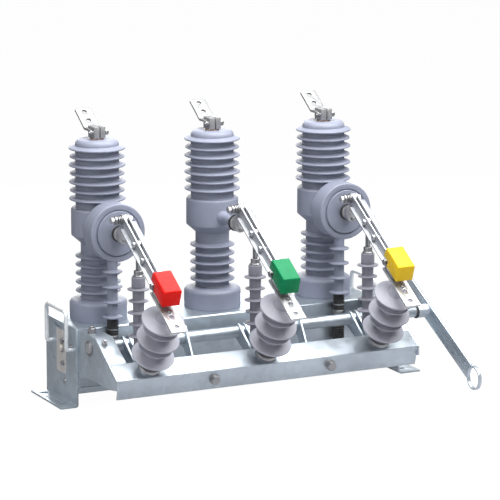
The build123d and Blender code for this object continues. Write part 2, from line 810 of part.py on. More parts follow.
# Operating lever: hub, flat bar and pulling ring in one welded piece
lever_c = cos(radians(lever_angle))
lever_s = sin(radians(lever_angle))
lever_end = lever_reach - ring_radius + (ring_radius - ring_bore / 2) / 2
with BuildPart() as operating_lever:
    with BuildSketch(Plane.YZ.offset(lever_x - lever_hub_left)):
        with Locations((shaft_y, shaft_above_feet)):
            Circle(lever_hub_radius)
    extrude(amount=lever_hub_left + lever_hub_right)
    bar_plane = Plane(
        origin=(lever_x + lever_sheet / 2, shaft_y, shaft_above_feet),
        x_dir=(0, -lever_c, -lever_s),
        z_dir=(-1, 0, 0))
    with BuildSketch(bar_plane):
        with Locations(((lever_end - lever_tail + lever_width / 2) / 2, 0)):
            Rectangle(lever_end + lever_tail - lever_width / 2, lever_width)
        with Locations((lever_width / 2 - lever_tail, 0)):
            Circle(lever_width / 2)
    extrude(amount=lever_sheet)
    with BuildSketch(bar_plane.offset((ring_length - lever_sheet) / -2)):
        with Locations((lever_reach, 0)):
            Circle(ring_radius)
            Circle(ring_bore / 2, mode=Mode.SUBTRACT)
    extrude(amount=ring_length)
    with BuildSketch(Plane.YZ.offset(lever_x - lever_hub_left)):
        with Locations((shaft_y, shaft_above_feet)):
            Circle(shaft_diameter / 2)
    extrude(amount=lever_hub_left + lever_hub_right, mode=Mode.SUBTRACT)
save(operating_lever.part, "operating_lever")

# Pull rods: shedded insulating rods with a flat tang at each end
rod_length = blade_pin_z - crank_pin_z
rod_body_top = rod_length - rod_head_drop - rod_ferrule_height
for name in phase_names:
    x = phase_x[name]
    with BuildPart() as pull_rod:
        with BuildSketch(Plane(origin=(x, crank_pin_y, crank_pin_z), x_dir=(1, 0, 0), z_dir=(0, -1, 0))):
            with BuildLine():
                Polyline(
                    (0, rod_foot_height - rod_ferrule_height),
                    (rod_bottom_radius + rod_foot_ferrule, rod_foot_height - rod_ferrule_height),
                    (rod_bottom_radius + rod_foot_ferrule, rod_foot_height),
                    (rod_bottom_radius, rod_foot_height),
                    (rod_top_radius, rod_body_top - rod_head_height),
                    (rod_head_radius, rod_body_top - rod_head_height),
                    (rod_head_radius, rod_body_top),
                    (rod_ferrule_radius, rod_body_top),
                    (rod_ferrule_radius, rod_body_top + rod_ferrule_height),
                    (0, rod_body_top + rod_ferrule_height),
                    close=True)
            make_face()
            for i in range(rod_shed_count):
                height = rod_shed_first + i * rod_shed_pitch
                radius = rod_shed_radius - rod_shed_step * (i % 2)
                shed(rod_bottom_radius, radius, height, rod_shed_root, rod_shed_rim)
        revolve(axis=Axis((x, crank_pin_y, 0), (0, 0, 1)))
        with BuildSketch(Plane.YZ.offset(x - tang_thickness / 2)):
            with Locations((crank_pin_y, crank_pin_z)):
                Circle(tang_width / 2)
                Rectangle(tang_width, rod_foot_height - rod_ferrule_height, align=(Align.CENTER, Align.MIN))
                Circle(crank_pin / 2 + pin_clearance, mode=Mode.SUBTRACT)
            with Locations((crank_pin_y, blade_pin_z)):
                Circle(tang_width / 2)
                Rectangle(rod_head_tang_width, rod_head_drop, align=(Align.CENTER, Align.MAX))
                Circle(blade_bolt / 2 + open_pivot_clearance, mode=Mode.SUBTRACT)
        extrude(amount=tang_thickness)
    save(pull_rod.part, f"pull_rod_{name}")

# Post insulators: leaning resin posts with large and small sheds
post_height = frame_drop - contact_drop - contact_sheet
for name in phase_names:
    x = phase_x[name]
    post_base = lean_plane(x, post_reach, -frame_drop)
    with BuildPart() as post_insulator:
        with BuildSketch(post_base):
            with BuildLine():
                Polyline(
                    (0, 0),
                    (post_foot_radius, 0),
                    (post_foot_radius, post_foot_height),
                    (post_core_radius, post_foot_height),
                    (post_cone_radius, post_shed_first + (post_shed_count - 1) * post_shed_pitch),
                    (post_tip_radius, post_height),
                    (0, post_height),
                    close=True)
            make_face()
            for i in range(post_shed_count):
                height = post_shed_first + i * post_shed_pitch
                shed(
                    post_cone_radius, post_shed_radius, height, post_shed_root, post_shed_rim,
                    post_shed_rise)
            for i in range(post_shed_count - 1):
                height = post_shed_first + (i + 0.5) * post_shed_pitch
                shed(post_cone_radius, post_small_shed_radius, height, post_shed_root, post_shed_rim, 0)
        revolve(axis=Axis(post_base.origin, (0, -lean_s, lean_c)))
    save(post_insulator.part, f"post_insulator_{name}")

# Static contacts: a plate on the post with a knife between the blade bars
contact_start = bar_length - contact_lap
knife_start = bar_length - knife_lap
for name in phase_names:
    x = phase_x[name]
    with BuildPart() as static_contact:
        with BuildSketch(lean_plane(x + contact_width / 2)):
            with Locations((contact_start + contact_length / 2, -contact_drop - contact_sheet / 2)):
                Rectangle(contact_length, contact_sheet)
        extrude(amount=contact_width)
        with BuildSketch(lean_plane(x + knife_thickness / 2)):
            with Locations((knife_start + knife_length / 2, (knife_top - contact_drop) / 2)):
                Rectangle(knife_length, knife_top + contact_drop)
        extrude(amount=knife_thickness)
        with Locations(Plane(
                origin=lean_plane(x, bar_length + contact_hole_beyond, -contact_drop).origin,
                x_dir=(0, -lean_c, -lean_s),
                z_dir=(0, -lean_s, lean_c))):
            with Locations((0, 0), (contact_hole_spacing, 0)):
                Hole(contact_hole / 2)
    save(static_contact.part, f"static_contact_{name}")
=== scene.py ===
"""Looks of an outdoor vacuum circuit breaker with a load-side isolating switch.

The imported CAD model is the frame. Cast resin parts get smooth turned shapes, sheet metal gets soft
edges, and fasteners and sheds are repeated by Geometry Nodes. Sizes are in millimetres in the row
frame, and turn into metres where a mesh is made.
"""

import logging
from dataclasses import dataclass
from enum import Enum
from math import asin, cos, pi, radians, sin, tan
from typing import Iterable, Sequence

import bmesh
import bpy
from mathutils import Matrix, Vector

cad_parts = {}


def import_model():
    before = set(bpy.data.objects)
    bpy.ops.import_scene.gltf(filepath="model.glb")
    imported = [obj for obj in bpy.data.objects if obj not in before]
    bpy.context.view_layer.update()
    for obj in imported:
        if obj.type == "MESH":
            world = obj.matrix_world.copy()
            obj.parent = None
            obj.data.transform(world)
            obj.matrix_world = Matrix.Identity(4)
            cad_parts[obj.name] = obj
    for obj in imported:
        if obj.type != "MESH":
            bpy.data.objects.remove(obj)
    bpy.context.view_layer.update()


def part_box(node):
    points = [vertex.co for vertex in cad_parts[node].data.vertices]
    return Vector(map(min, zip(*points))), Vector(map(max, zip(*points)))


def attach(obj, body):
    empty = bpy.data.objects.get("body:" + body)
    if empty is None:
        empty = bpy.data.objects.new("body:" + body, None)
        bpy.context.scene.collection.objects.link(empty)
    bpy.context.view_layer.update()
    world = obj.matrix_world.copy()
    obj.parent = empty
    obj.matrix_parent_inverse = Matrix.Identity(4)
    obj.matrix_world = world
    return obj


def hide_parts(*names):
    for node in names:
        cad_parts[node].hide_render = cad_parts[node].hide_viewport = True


log = logging.getLogger("breaker")

MM = 0.001
SMOOTH_ANGLE = 32.0
SOFT_ANGLE = 40.0
FLAT_ANGLE = 0.6
UP = Vector((0, 0, 1))
LEFT = Vector((-1, 0, 0))
RIGHT = Vector((1, 0, 0))
FRONT = Vector((0, -1, 0))
Mesh = bpy.types.Mesh
Socket = bpy.types.NodeSocket
Colour = tuple[float, float, float]
Pair = tuple[float, float]
Profile = list[Pair]


class Phase(Enum):
    """The three phases, by the letter that their nodes end in."""

    A = "a"
    B = "b"
    C = "c"


@dataclass(frozen=True)
class Layout:
    """Main places of the machine, as the CAD model has them."""

    box_top: float = 214.0
    box_front: float = -104.0
    left_wall: float = -475.0
    right_wall: float = 425.0
    hinge_y: float = -179.0
    hinge_z: float = 515.0
    shaft_z: float = 179.0
    lean: float = 31.5
    frame_drop: float = 235.0
    crank: float = 98.5
    ct_z: float = 470.0
    outlet_z: float = 471.0
    outlet_radius: float = 11.0
    outlet_end: float = 156.0

    @property
    def down(self) -> Vector:
        """Direction down the blade."""
        return Vector((0, -cos(radians(self.lean)), -sin(radians(self.lean))))

    @property
    def rise(self) -> Vector:
        """Direction square to the blade, up and forward."""
        return Vector((0, -sin(radians(self.lean)), cos(radians(self.lean))))

    def on_lean(self, x: float, reach: float, rise: float) -> Vector:
        """Gives a place in the leaning plane.

        Args:
            x: Place along the row of poles.
            reach: Distance from the hinge, down the blade.
            rise: Distance above the blade's middle line.

        Returns:
            The point in the row frame.
        """
        return Vector((x, self.hinge_y, self.hinge_z)) + self.down * reach + self.rise * rise


PLACE = Layout()


class Nodes:
    """Short way to fill a node tree."""

    def __init__(self, tree: bpy.types.NodeTree) -> None:
        """Empties the tree."""
        self.tree = tree
        tree.nodes.clear()

    def add(
        self, kind: str, inputs: dict[str | int, object] | None = None, **settings: object
    ) -> bpy.types.Node:
        """Adds one node.

        Args:
            kind: Blender's name of the node type.
            inputs: What goes into each input: another node's output, or a plain value.
            settings: Properties of the node.

        Returns:
            The new node.
        """
        node = self.tree.nodes.new(kind)
        for name, value in settings.items():
            setattr(node, name, value)
        for name, value in (inputs or {}).items():
            if isinstance(value, Socket):
                self.tree.links.new(value, node.inputs[name])
            else:
                node.inputs[name].default_value = value
        return node

    def span(self, value: Socket, low: float, high: float, source: Pair = (0.3, 0.7)) -> Socket:
        """Maps a value from one span to another."""
        start, end = source
        inputs = {"Value": value, "From Min": start, "From Max": end, "To Min": low, "To Max": high}
        return self.add("ShaderNodeMapRange", inputs).outputs["Result"]

    def mix(self, share: Socket, first: object, second: object) -> Socket:
        """Mixes two colours by a share."""
        return self.add("ShaderNodeMix", {"Factor": share, 6: first, 7: second}, data_type="RGBA").outputs[2]

    def blend(self, share: Socket, first: bpy.types.Node, second: bpy.types.Node, output: str) -> None:
        """Mixes two shaders by a share, and ends the tree with them."""
        mix = self.add("ShaderNodeMixShader", {"Fac": share, 1: first.outputs[0], 2: second.outputs[0]})
        self.add(output, {"Surface": mix.outputs[0]})


class Graph(Nodes):
    """Nodes of a material that has one Principled shader."""

    def __init__(self, name: str) -> None:
        """Starts the material.

        Args:
            name: Name of the material.
        """
        self.material = bpy.data.materials.new(name)
        self.material.use_nodes = True
        super().__init__(self.material.node_tree)
        self.shader = self.add("ShaderNodeBsdfPrincipled")
        self.add("ShaderNodeOutputMaterial", {"Surface": self.shader.outputs["BSDF"]})
        self.place = self.add("ShaderNodeTexCoord").outputs["Object"]

    def stretch(self, scale: Sequence[float]) -> Socket:
        """Gives Object coordinates scaled along each axis."""
        return self.add("ShaderNodeMapping", {"Vector": self.place, "Scale": scale}).outputs["Vector"]

    def noise(self, scale: float, detail: float = 3.0, vector: Socket | None = None) -> Socket:
        """Adds a noise texture.

        Args:
            scale: Cells per metre.
            detail: Octaves.
            vector: Coordinates, or Object coordinates where none are given.

        Returns:
            The noise value.
        """
        inputs = {"Scale": scale, "Detail": detail, "Vector": vector or self.place}
        return self.add("ShaderNodeTexNoise", inputs).outputs["Fac"]

    def cells(self, scale: float) -> Socket:
        """Adds a Voronoi texture with one flat random value in each cell."""
        return self.add("ShaderNodeTexVoronoi", {"Scale": scale, "Vector": self.place}).outputs["Color"]

    def ramp(self, value: Socket, low: Colour, high: Colour, ends: Pair = (0.3, 0.7)) -> Socket:
        """Turns a value into a colour between two others.

        Args:
            value: Driving value, from 0 to 1.
            low: Colour at the first end.
            high: Colour at the second end.
            ends: Places of the two ends.

        Returns:
            The colour.
        """
        node = self.add("ShaderNodeValToRGB", {"Fac": value})
        for element, place, colour in zip(node.color_ramp.elements, ends, (low, high)):
            element.position = place
            element.color = (*colour, 1.0)
        return node.outputs["Color"]

    def paint(
        self, colour: Socket, rough: Socket, height: Socket, depth: float, strength: float, **values: float
    ) -> bpy.types.Material:
        """Fills the shader's inputs.

        Args:
            colour: Base colour.
            rough: Roughness.
            height: Height value of the bump.
            depth: Depth of the bump, in millimetres.
            strength: Share of the bump.
            values: Plain values of other inputs, with spaces written as underscores.

        Returns:
            The finished material.
        """
        bump = self.add("ShaderNodeBump", {"Distance": depth * MM, "Strength": strength, "Height": height})
        links = {"Base Color": colour, "Roughness": rough, "Normal": bump.outputs["Normal"]}
        for name, socket in links.items():
            self.tree.links.new(socket, self.shader.inputs[name])
        for name, value in values.items():
            self.shader.inputs[name.replace("_", " ")].default_value = value
        return self.material


@dataclass(frozen=True)
class Finish:
    """What every finish has. Scales of noise are in cells per metre, bumps in millimetres."""

    name: str
    slot: str
    tone: Colour

    def toned(self, factor: float) -> Colour:
        """Gives the tone made lighter or darker."""
        return tuple(min(1.0, c * factor) for c in self.tone)

    def build(self) -> bpy.types.Material:
        """Builds the material."""
        raise NotImplementedError


@dataclass(frozen=True)
class CastResin(Finish):
    """Matt cast resin: faint clouds of tone and a fine satin grain."""

    spread: float = 0.12
    roughness: float = 0.46
    clouds: float = 9.0
    satin: float = 140.0
    grain: float = 900.0
    depth: float = 0.10

    def build(self) -> bpy.types.Material:
        """Builds the resin: clouds of tone, satin and grain.

        Returns:
            The material.
        """
        graph = Graph(self.name)
        clouds = graph.noise(self.clouds, 5.0)
        colour = graph.ramp(clouds, self.toned(1 - self.spread), self.toned(1 + self.spread))
        rough = graph.span(graph.noise(self.satin), self.roughness - 0.05, self.roughness + 0.07)
        grain = graph.noise(self.grain, 2.0)
        return graph.paint(colour, rough, grain, self.depth, 0.35, Specular_IOR_Level=0.5)


@dataclass(frozen=True)
class Galvanised(Finish):
    """Hot-dip zinc on steel: soft spangle, pale clouds and faint streaks."""

    spangle: float = 60.0
    roughness: float = 0.40
    metallic: float = 0.9
    clouds: float = 7.0
    streaks: float = 5.0
    run: Sequence[float] = (1.0, 9.0, 9.0)
    satin: float = 30.0
    grain: float = 260.0
    depth: float = 0.12

    def build(self) -> bpy.types.Material:
        """Builds the zinc: spangle and clouds mixed along faint streaks.

        Returns:
            The material.
        """
        graph = Graph(self.name)
        light = self.toned(1.16)
        dark = self.toned(0.86)
        cells = graph.ramp(graph.cells(self.spangle), dark, light, (0.1, 0.9))
        clouds = graph.ramp(graph.noise(self.clouds, 6.0), dark, light, (0.35, 0.65))
        streaks = graph.noise(self.streaks, 4.0, graph.stretch(self.run))
        colour = graph.mix(graph.span(streaks, 0.45, 0.85), cells, clouds)
        rough = graph.span(graph.noise(self.satin, 4.0), self.roughness - 0.07, self.roughness + 0.10)
        return graph.paint(colour, rough, graph.noise(self.grain), self.depth, 0.25, Metallic=self.metallic)


@dataclass(frozen=True)
class PlatedMetal(Finish):
    """Tinned or zinc-plated metal: nearly even, with faint handling marks."""

    roughness: float = 0.28
    metallic: float = 1.0
    brushing: Sequence[float] = (1.0, 1.0, 1.0)
    marks: float = 60.0
    satin: float = 90.0
    depth: float = 0.05

    def build(self) -> bpy.types.Material:
        """Builds the metal: marks along the brushing, as colour and as bump.

        Returns:
            The material.
        """
        graph = Graph(self.name)
        marks = graph.noise(self.marks, 5.0, graph.stretch(self.brushing))
        colour = graph.ramp(marks, self.toned(0.84), self.tone, (0.3, 0.62))
        rough = graph.span(graph.noise(self.satin, 4.0), self.roughness - 0.06, self.roughness + 0.12)
        return graph.paint(colour, rough, marks, self.depth, 0.2, Metallic=self.metallic)


@dataclass(frozen=True)
class GlossPlastic(Finish):
    """Moulded gloss plastic: rich colour, faint waviness and a thin clear skin."""

    roughness: float = 0.24
    clouds: float = 25.0
    satin: float = 60.0
    waves: float = 45.0
    depth: float = 0.08

    def build(self) -> bpy.types.Material:
        """Builds the plastic: wavy, under a thin clear skin.

        Returns:
            The material.
        """
        graph = Graph(self.name)
        colour = graph.ramp(graph.noise(self.clouds, 4.0), self.toned(0.86), self.tone)
        rough = graph.span(graph.noise(self.satin), self.roughness - 0.04, self.roughness + 0.08)
        skin = {"Specular_IOR_Level": 0.12, "Coat_Weight": 0.05, "Coat_Roughness": 0.15}
        return graph.paint(colour, rough, graph.noise(self.waves, 1.0), self.depth, 0.3, **skin)


@dataclass(frozen=True)
class BlackRubber(Finish):
    """Conduit rubber: deep grey, dusty on its ribs."""

    dust: float = 55.0
    satin: float = 120.0
    grain: float = 700.0
    depth: float = 0.1

    def build(self) -> bpy.types.Material:
        """Builds the rubber: dust on a deep grey.

        Returns:
            The material.
        """
        graph = Graph(self.name)
        colour = graph.ramp(graph.noise(self.dust, 5.0), self.tone, self.toned(1.9), (0.45, 0.8))
        rough = graph.span(graph.noise(self.satin), 0.42, 0.62)
        return graph.paint(colour, rough, graph.noise(self.grain, 2.0), self.depth, 0.3)


RESIN = CastResin("cast_resin", "pole_resin", (0.250, 0.268, 0.342))
POST_RESIN = CastResin("post_resin", "post_resin", (0.36, 0.365, 0.42))
ROD_RESIN = CastResin("rod_resin", "rod_resin", (0.25, 0.25, 0.295))
# Near-black resin for the sleeve at each post's foot: painted shade, the shadow that falls under the lowest
# shed.
SHADE_SLEEVE = CastResin("painted_shade_sleeve", "post_resin", (0.085, 0.08, 0.085), spread=0.2)
ZINC = Galvanised("hot_dip_zinc", "galvanised", (0.53, 0.59, 0.645))
ROD_ZINC = Galvanised(
    "bent_rod_zinc", "galvanised", (0.84, 0.88, 0.92), spangle=90.0, roughness=0.42, metallic=0.35)
TRAY_ZINC = Galvanised("tray_zinc", "tray_steel", (0.50, 0.56, 0.61))
STAINLESS = PlatedMetal(
    "brushed_stainless", "stainless", (0.80, 0.77, 0.73), 0.42, metallic=0.55, brushing=(1.0, 1.0, 0.06))
TIN = PlatedMetal("tin_plating", "tinned", (0.56, 0.56, 0.57), 0.36, metallic=0.8)
LUG_TIN = PlatedMetal("lug_tin", "tinned", (0.35, 0.355, 0.36), 0.42, metallic=0.55)
BLADE_TIN = PlatedMetal("blade_tin", "tinned", (0.55, 0.57, 0.60), 0.42, metallic=0.8)
BOLT_ZINC = PlatedMetal("bolt_zinc", "galvanised", (0.40, 0.40, 0.41), 0.36)
COPPER = PlatedMetal("dull_copper", "tinned", (0.52, 0.36, 0.26), 0.42)
RUBBER = BlackRubber("conduit_rubber", "conduit_rubber", (0.028, 0.027, 0.027))
CAP_FINISH = {
    Phase.A: GlossPlastic("cap_red", "cap_red", (0.86, 0.008, 0.004)),
    Phase.B: GlossPlastic("cap_green", "cap_green", (0.0, 0.24, 0.085)),
    Phase.C: GlossPlastic("cap_yellow", "cap_yellow", (0.86, 0.56, 0.02)),
}


def linked(name: str, data: bpy.types.ID) -> bpy.types.Object:
    """Gives a new object in the scene."""
    item = bpy.data.objects.new(name, data)
    bpy.context.scene.collection.objects.link(item)
    return item


def made(form: bmesh.types.BMesh, name: str) -> Mesh:
    """Turns a bmesh into a mesh, and frees it.

    Args:
        form: The bmesh.
        name: Name of the mesh.

    Returns:
        The mesh.
    """
    mesh = bpy.data.meshes.new(name)
    form.to_mesh(mesh)
    form.free()
    return mesh


def bake(helper: bpy.types.Object) -> Mesh:
    """Gives the evaluated mesh of a helper object, and removes the helper.

    Args:
        helper: Object with its modifiers set.

    Returns:
        The plain mesh.
    """
    bpy.context.view_layer.update()
    graph = bpy.context.evaluated_depsgraph_get()
    mesh = bpy.data.meshes.new_from_object(helper.evaluated_get(graph), depsgraph=graph)
    bpy.data.objects.remove(helper)
    return mesh


def softened(node: str, width: float) -> Mesh:
    """Copies a CAD node and softens its sharp edges.

    Args:
        node: Name of the CAD node.
        width: Width of the softened edges, in millimetres.

    Returns:
        The new mesh.
    """
    form = bmesh.new()
    form.from_mesh(bpy.data.objects[node].data)
    bmesh.ops.remove_doubles(form, verts=form.verts, dist=1e-6)
    flat = radians(FLAT_ANGLE)
    bmesh.ops.dissolve_limit(
        form, angle_limit=flat, verts=form.verts, edges=form.edges, use_dissolve_boundaries=False)
    helper = linked("softening", made(form, "softened"))
    bevel = helper.modifiers.new("soft_edges", "BEVEL")
    bevel.width = width * MM
    bevel.segments = 2
    bevel.limit_method = "ANGLE"
    bevel.angle_limit = radians(SOFT_ANGLE)
    bevel.use_clamp_overlap = True
    bevel.miter_outer = "MITER_ARC"
    return bake(helper)


class Workshop:
    """Keeps one material per finish and hands finished pieces to the frame."""

    def __init__(self) -> None:
        """Starts with no materials."""
        self.materials: dict[str, bpy.types.Material] = {}

    def material(self, finish: Finish) -> bpy.types.Material:
        """Gives the material of a finish, built once."""
        if finish.name not in self.materials:
            self.materials[finish.name] = finish.build()
        return self.materials[finish.name]

    def deliver(self, name: str, mesh: Mesh, body: str, finish: Finish, *nodes: str) -> None:
        """Turns a mesh into a finished piece.

        Args:
            name: Name of the piece.
            mesh: Its mesh, in the row frame.
            body: CAD body that it rides on.
            finish: Its finish.
            nodes: CAD nodes that it stands for.
        """
        mesh.name = name
        mesh.materials.clear()
        mesh.materials.append(self.material(finish))
        mesh.shade_smooth()
        mesh.set_sharp_from_angle(angle=radians(SMOOTH_ANGLE))
        piece = linked(name, mesh)
        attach(piece, body)
        if nodes:
            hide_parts(*nodes)
        log.info("%s: %d faces on %s", name, len(mesh.polygons), body)

    def soften(self, name: str, node: str, width: float, finish: Finish, body: str = "root") -> None:
        """Delivers a CAD node again with soft edges.

        Args:
            name: Name of the piece.
            node: Name of the CAD node.
            width: Width of the softened edges, in millimetres.
            finish: Its finish.
            body: CAD body that it rides on.
        """
        self.deliver(name, softened(node, width), body, finish, node)

    def dress(self, node: str, finish: Finish) -> None:
        """Gives a CAD node that stays visible its finish.

        Args:
            node: Name of the CAD node.
            finish: Its finish.
        """
        data = bpy.data.objects[node].data
        data.materials.clear()
        data.materials.append(self.material(finish))
        log.info("%s: dressed in %s", node, finish.name)


def rounded(points: Profile, radii: Sequence[float], closed: bool = False, steps: int = 5) -> Profile:
    """Turns the corners of an outline into arcs.

    Args:
        points: Corners of the outline.
        radii: Radius at each corner, 0 where it stays sharp.
        closed: Whether the last corner joins the first.
        steps: Segments of each arc.

    Returns:
        The finer outline.
    """
    result: Profile = []
    count = len(points)
    for i, (point, radius) in enumerate(zip(points, radii)):
        ends = not closed and i in (0, count - 1)
        if radius <= 0 or ends:
            result.append(point)
            continue
        corner = Vector(point)
        back = Vector(points[i - 1]) - corner
        ahead = Vector(points[(i + 1) % count]) - corner
        half = back.angle(ahead) / 2
        reach = min(radius / tan(half), back.length * 0.49, ahead.length * 0.49)
        bow = reach * tan(half)
        centre = corner + (back.normalized() + ahead.normalized()).normalized() * (bow / sin(half))
        start = corner + back.normalized() * reach - centre
        finish = corner + ahead.normalized() * reach - centre
        sweep = start.angle_signed(finish)
        for step in range(steps + 1):
            turn = -sweep * step / steps
            x = start.x * cos(turn) - start.y * sin(turn)
            y = start.x * sin(turn) + start.y * cos(turn)
            result.append((centre.x + x, centre.y + y))
    return result


def hoop(form: bmesh.types.BMesh, radius: float, height: float, count: int) -> list[bmesh.types.BMVert]:
    """Adds a ring of points round Z, or one point where the radius is 0.

    Args:
        form: Bmesh that takes them.
        radius: Radius of the ring.
        height: Height of the ring.
        count: Number of points.

    Returns:
        The points.
    """
    if radius < 1e-6:
        return [form.verts.new((0, 0, height * MM))]
    turn = (2 * pi * i / count for i in range(count))
    return [form.verts.new((radius * cos(a) * MM, radius * sin(a) * MM, height * MM)) for a in turn]


def lathe(profile: Profile, segments: int = 96, loop: bool = False) -> Mesh:
    """Turns a profile round Z into a closed mesh.

    Args:
        profile: Radius and height of each point, in millimetres.
        segments: Faces round the turn.
        loop: Whether the profile is a closed ring off the axis.

    Returns:
        The mesh, in metres, on the Z axis.
    """
    form = bmesh.new()
    rings = [hoop(form, radius, height, segments) for radius, height in profile]
    pairs = list(zip(rings, rings[1:]))
    if loop:
        pairs.append((rings[-1], rings[0]))
    for low, high in pairs:
        for i in range(segments):
            j = (i + 1) % segments
            corners = [low[i % len(low)], low[j % len(low)], high[j % len(high)], high[i % len(high)]]
            unique = list(dict.fromkeys(corners))
            if len(unique) > 2:
                form.faces.new(unique)
    bmesh.ops.recalc_face_normals(form, faces=form.faces)
    return made(form, "turned")


def bar(radius: float, low: float, high: float) -> Profile:
    """Gives the profile of a plain round bar."""
    return [(0.0, low), (radius, low), (radius, high), (0.0, high)]


def turned(
    bore: float, radius: float, low: float, high: float, edges: Pair, segments: int = 48, steps: int = 5
) -> Mesh:
    """Turns a plain round piece, solid or with a bore.

    Args:
        bore: Radius of its bore, 0 where it has none.
        radius: Its outer radius.
        low: Height of its base.
        high: Height of its top.
        edges: Rounding of its outer edge, at the base and at the top.
        segments: Faces round the turn.
        steps: Segments of each rounding.

    Returns:
        The mesh, on the Z axis.
    """
    points = [(bore, low), (radius, low), (radius, high), (bore, high)]
    ring = bore > 0
    return lathe(rounded(points, [0, *edges, 0], ring, steps), segments, ring)


def join(meshes: Sequence[Mesh]) -> Mesh:
    """Joins several meshes into one and removes the others.

    Args:
        meshes: Meshes to join.

    Returns:
        The joined mesh.
    """
    form = bmesh.new()
    for mesh in meshes:
        form.from_mesh(mesh)
        bpy.data.meshes.remove(mesh)
    return made(form, "joined")


def placed(mesh: Mesh, origin: Vector, axis: Vector = UP) -> Mesh:
    """Moves a mesh from the Z axis to its place.

    Args:
        mesh: The mesh.
        origin: Where its origin goes, in millimetres.
        axis: Where its Z axis points.

    Returns:
        The same mesh.
    """
    turn = UP.rotation_difference(axis.normalized()).to_matrix().to_4x4()
    mesh.transform(Matrix.Translation(origin * MM) @ turn)
    return mesh


def box_mesh(low: Vector, high: Vector, bevel: float) -> Mesh:
    """Builds a box with softened edges.

    Args:
        low: Lowest corner, in millimetres.
        high: Highest corner.
        bevel: Width of the softened edges.

    Returns:
        The mesh.
    """
    form = bmesh.new()
    bmesh.ops.create_cube(form, size=1.0)
    size = high - low
    middle = (high + low) / 2
    for vert in form.verts:
        vert.co = Vector((vert.co[i] * size[i] + middle[i] for i in range(3))) * MM
    bmesh.ops.bevel(form, geom=form.edges[:], offset=bevel * MM, segments=2, profile=0.5, affect="EDGES")
    return made(form, "box")


def plate(outline: Profile, hole: Profile, thickness: float) -> Mesh:
    """Cuts a flat plate across X.

    Args:
        outline: Corners of the plate, as Y and Z.
        hole: Corners of its hole.
        thickness: Its thickness, half of it on each side.

    Returns:
        The mesh.
    """
    form = bmesh.new()
    for loop in (outline, hole):
        verts = [form.verts.new((-thickness / 2 * MM, y * MM, z * MM)) for y, z in loop]
        for first, second in zip(verts, verts[1:] + verts[:1]):
            form.edges.new((first, second))
    bmesh.ops.triangle_fill(form, use_beauty=True, edges=form.edges[:])
    grown = bmesh.ops.extrude_face_region(form, geom=form.faces[:])
    moved = [item for item in grown["geom"] if isinstance(item, bmesh.types.BMVert)]
    bmesh.ops.translate(form, vec=(thickness * MM, 0, 0), verts=moved)
    bmesh.ops.recalc_face_normals(form, faces=form.faces)
    return made(form, "plate")


def arc(centre: Pair, radius: float, start: float, turn: float, steps: int = 24) -> Profile:
    """Gives the points of an arc, with its start and turn in radians."""
    angles = (start + turn * i / steps for i in range(steps + 1))
    return [(centre[0] + radius * cos(a), centre[1] + radius * sin(a)) for a in angles]


class RepeatTree(Nodes):
    """A Geometry Nodes tree with named inputs, one of them the material."""

    def __init__(self, name: str, **sockets: str) -> None:
        """Starts the tree.

        Args:
            name: Name of the tree.
            sockets: Name and type of each input, apart from the geometry and the material.
        """
        tree = bpy.data.node_groups.new(name, "GeometryNodeTree")
        super().__init__(tree)
        self.identifiers: dict[str, str] = {}
        for socket, kind in {"Geometry": "Geometry", **sockets, "Material": "Material"}.items():
            item = tree.interface.new_socket(socket, in_out="INPUT", socket_type=f"NodeSocket{kind}")
            self.identifiers[socket] = item.identifier
        tree.interface.new_socket("Geometry", in_out="OUTPUT", socket_type="NodeSocketGeometry")
        self.inputs = self.add("NodeGroupInput").outputs

    def part(self) -> Socket:
        """Gives the geometry of the object that is repeated."""
        inputs = {"Object": self.inputs["Part"]}
        return self.add("GeometryNodeObjectInfo", inputs, transform_space="ORIGINAL").outputs["Geometry"]

    def close(self, geometry: Socket) -> None:
        """Ends the tree with Realize Instances and Set Material."""
        realize = self.add("GeometryNodeRealizeInstances", {"Geometry": geometry})
        paint = {"Geometry": realize.outputs["Geometry"], "Material": self.inputs["Material"]}
        self.add("NodeGroupOutput", {0: self.add("GeometryNodeSetMaterial", paint).outputs["Geometry"]})

    def run(self, base: Mesh, values: dict[str, object]) -> Mesh:
        """Runs the tree on a mesh.

        Args:
            base: Mesh that goes in.
            values: Value of each named input.

        Returns:
            The plain mesh that comes out.
        """
        helper = linked("helper", base)
        modifier = helper.modifiers.new("tree", "NODES")
        modifier.node_group = self.tree
        for name, value in values.items():
            modifier[self.identifiers[name]] = value
        return bake(helper)


class StackTree(RepeatTree):
    """Repeats a turned part along Z, every second one narrower."""

    def __init__(self) -> None:
        """Builds the nodes."""
        super().__init__(
            "stack_along_axis", Part="Object", Count="Int", First="Float", Pitch="Float", Narrowing="Float")
        start = self.add("ShaderNodeCombineXYZ", {"Z": self.inputs["First"]}).outputs["Vector"]
        step = self.add("ShaderNodeCombineXYZ", {"Z": self.inputs["Pitch"]}).outputs["Vector"]
        run = {"Count": self.inputs["Count"], "Start Location": start, "Offset": step}
        line = self.add("GeometryNodeMeshLine", run, mode="OFFSET").outputs["Mesh"]
        index = self.add("GeometryNodeInputIndex").outputs["Index"]
        odd = self.math("MODULO", index, 2.0)
        share = self.math("SUBTRACT", 1.0, self.math("MULTIPLY", odd, self.inputs["Narrowing"]))
        scale = self.add("ShaderNodeCombineXYZ", {"X": share, "Y": share, "Z": 1.0}).outputs["Vector"]
        copy = {"Points": line, "Instance": self.part(), "Scale": scale}
        copies = self.add("GeometryNodeInstanceOnPoints", copy).outputs["Instances"]
        both = self.add("GeometryNodeJoinGeometry", {"Geometry": copies})
        self.tree.links.new(self.inputs["Geometry"], both.inputs["Geometry"])
        self.close(both.outputs["Geometry"])

    def math(self, operation: str, first: Socket | float, second: Socket | float) -> Socket:
        """Adds a sum of two values."""
        return self.add("ShaderNodeMath", {0: first, 1: second}, operation=operation).outputs["Value"]


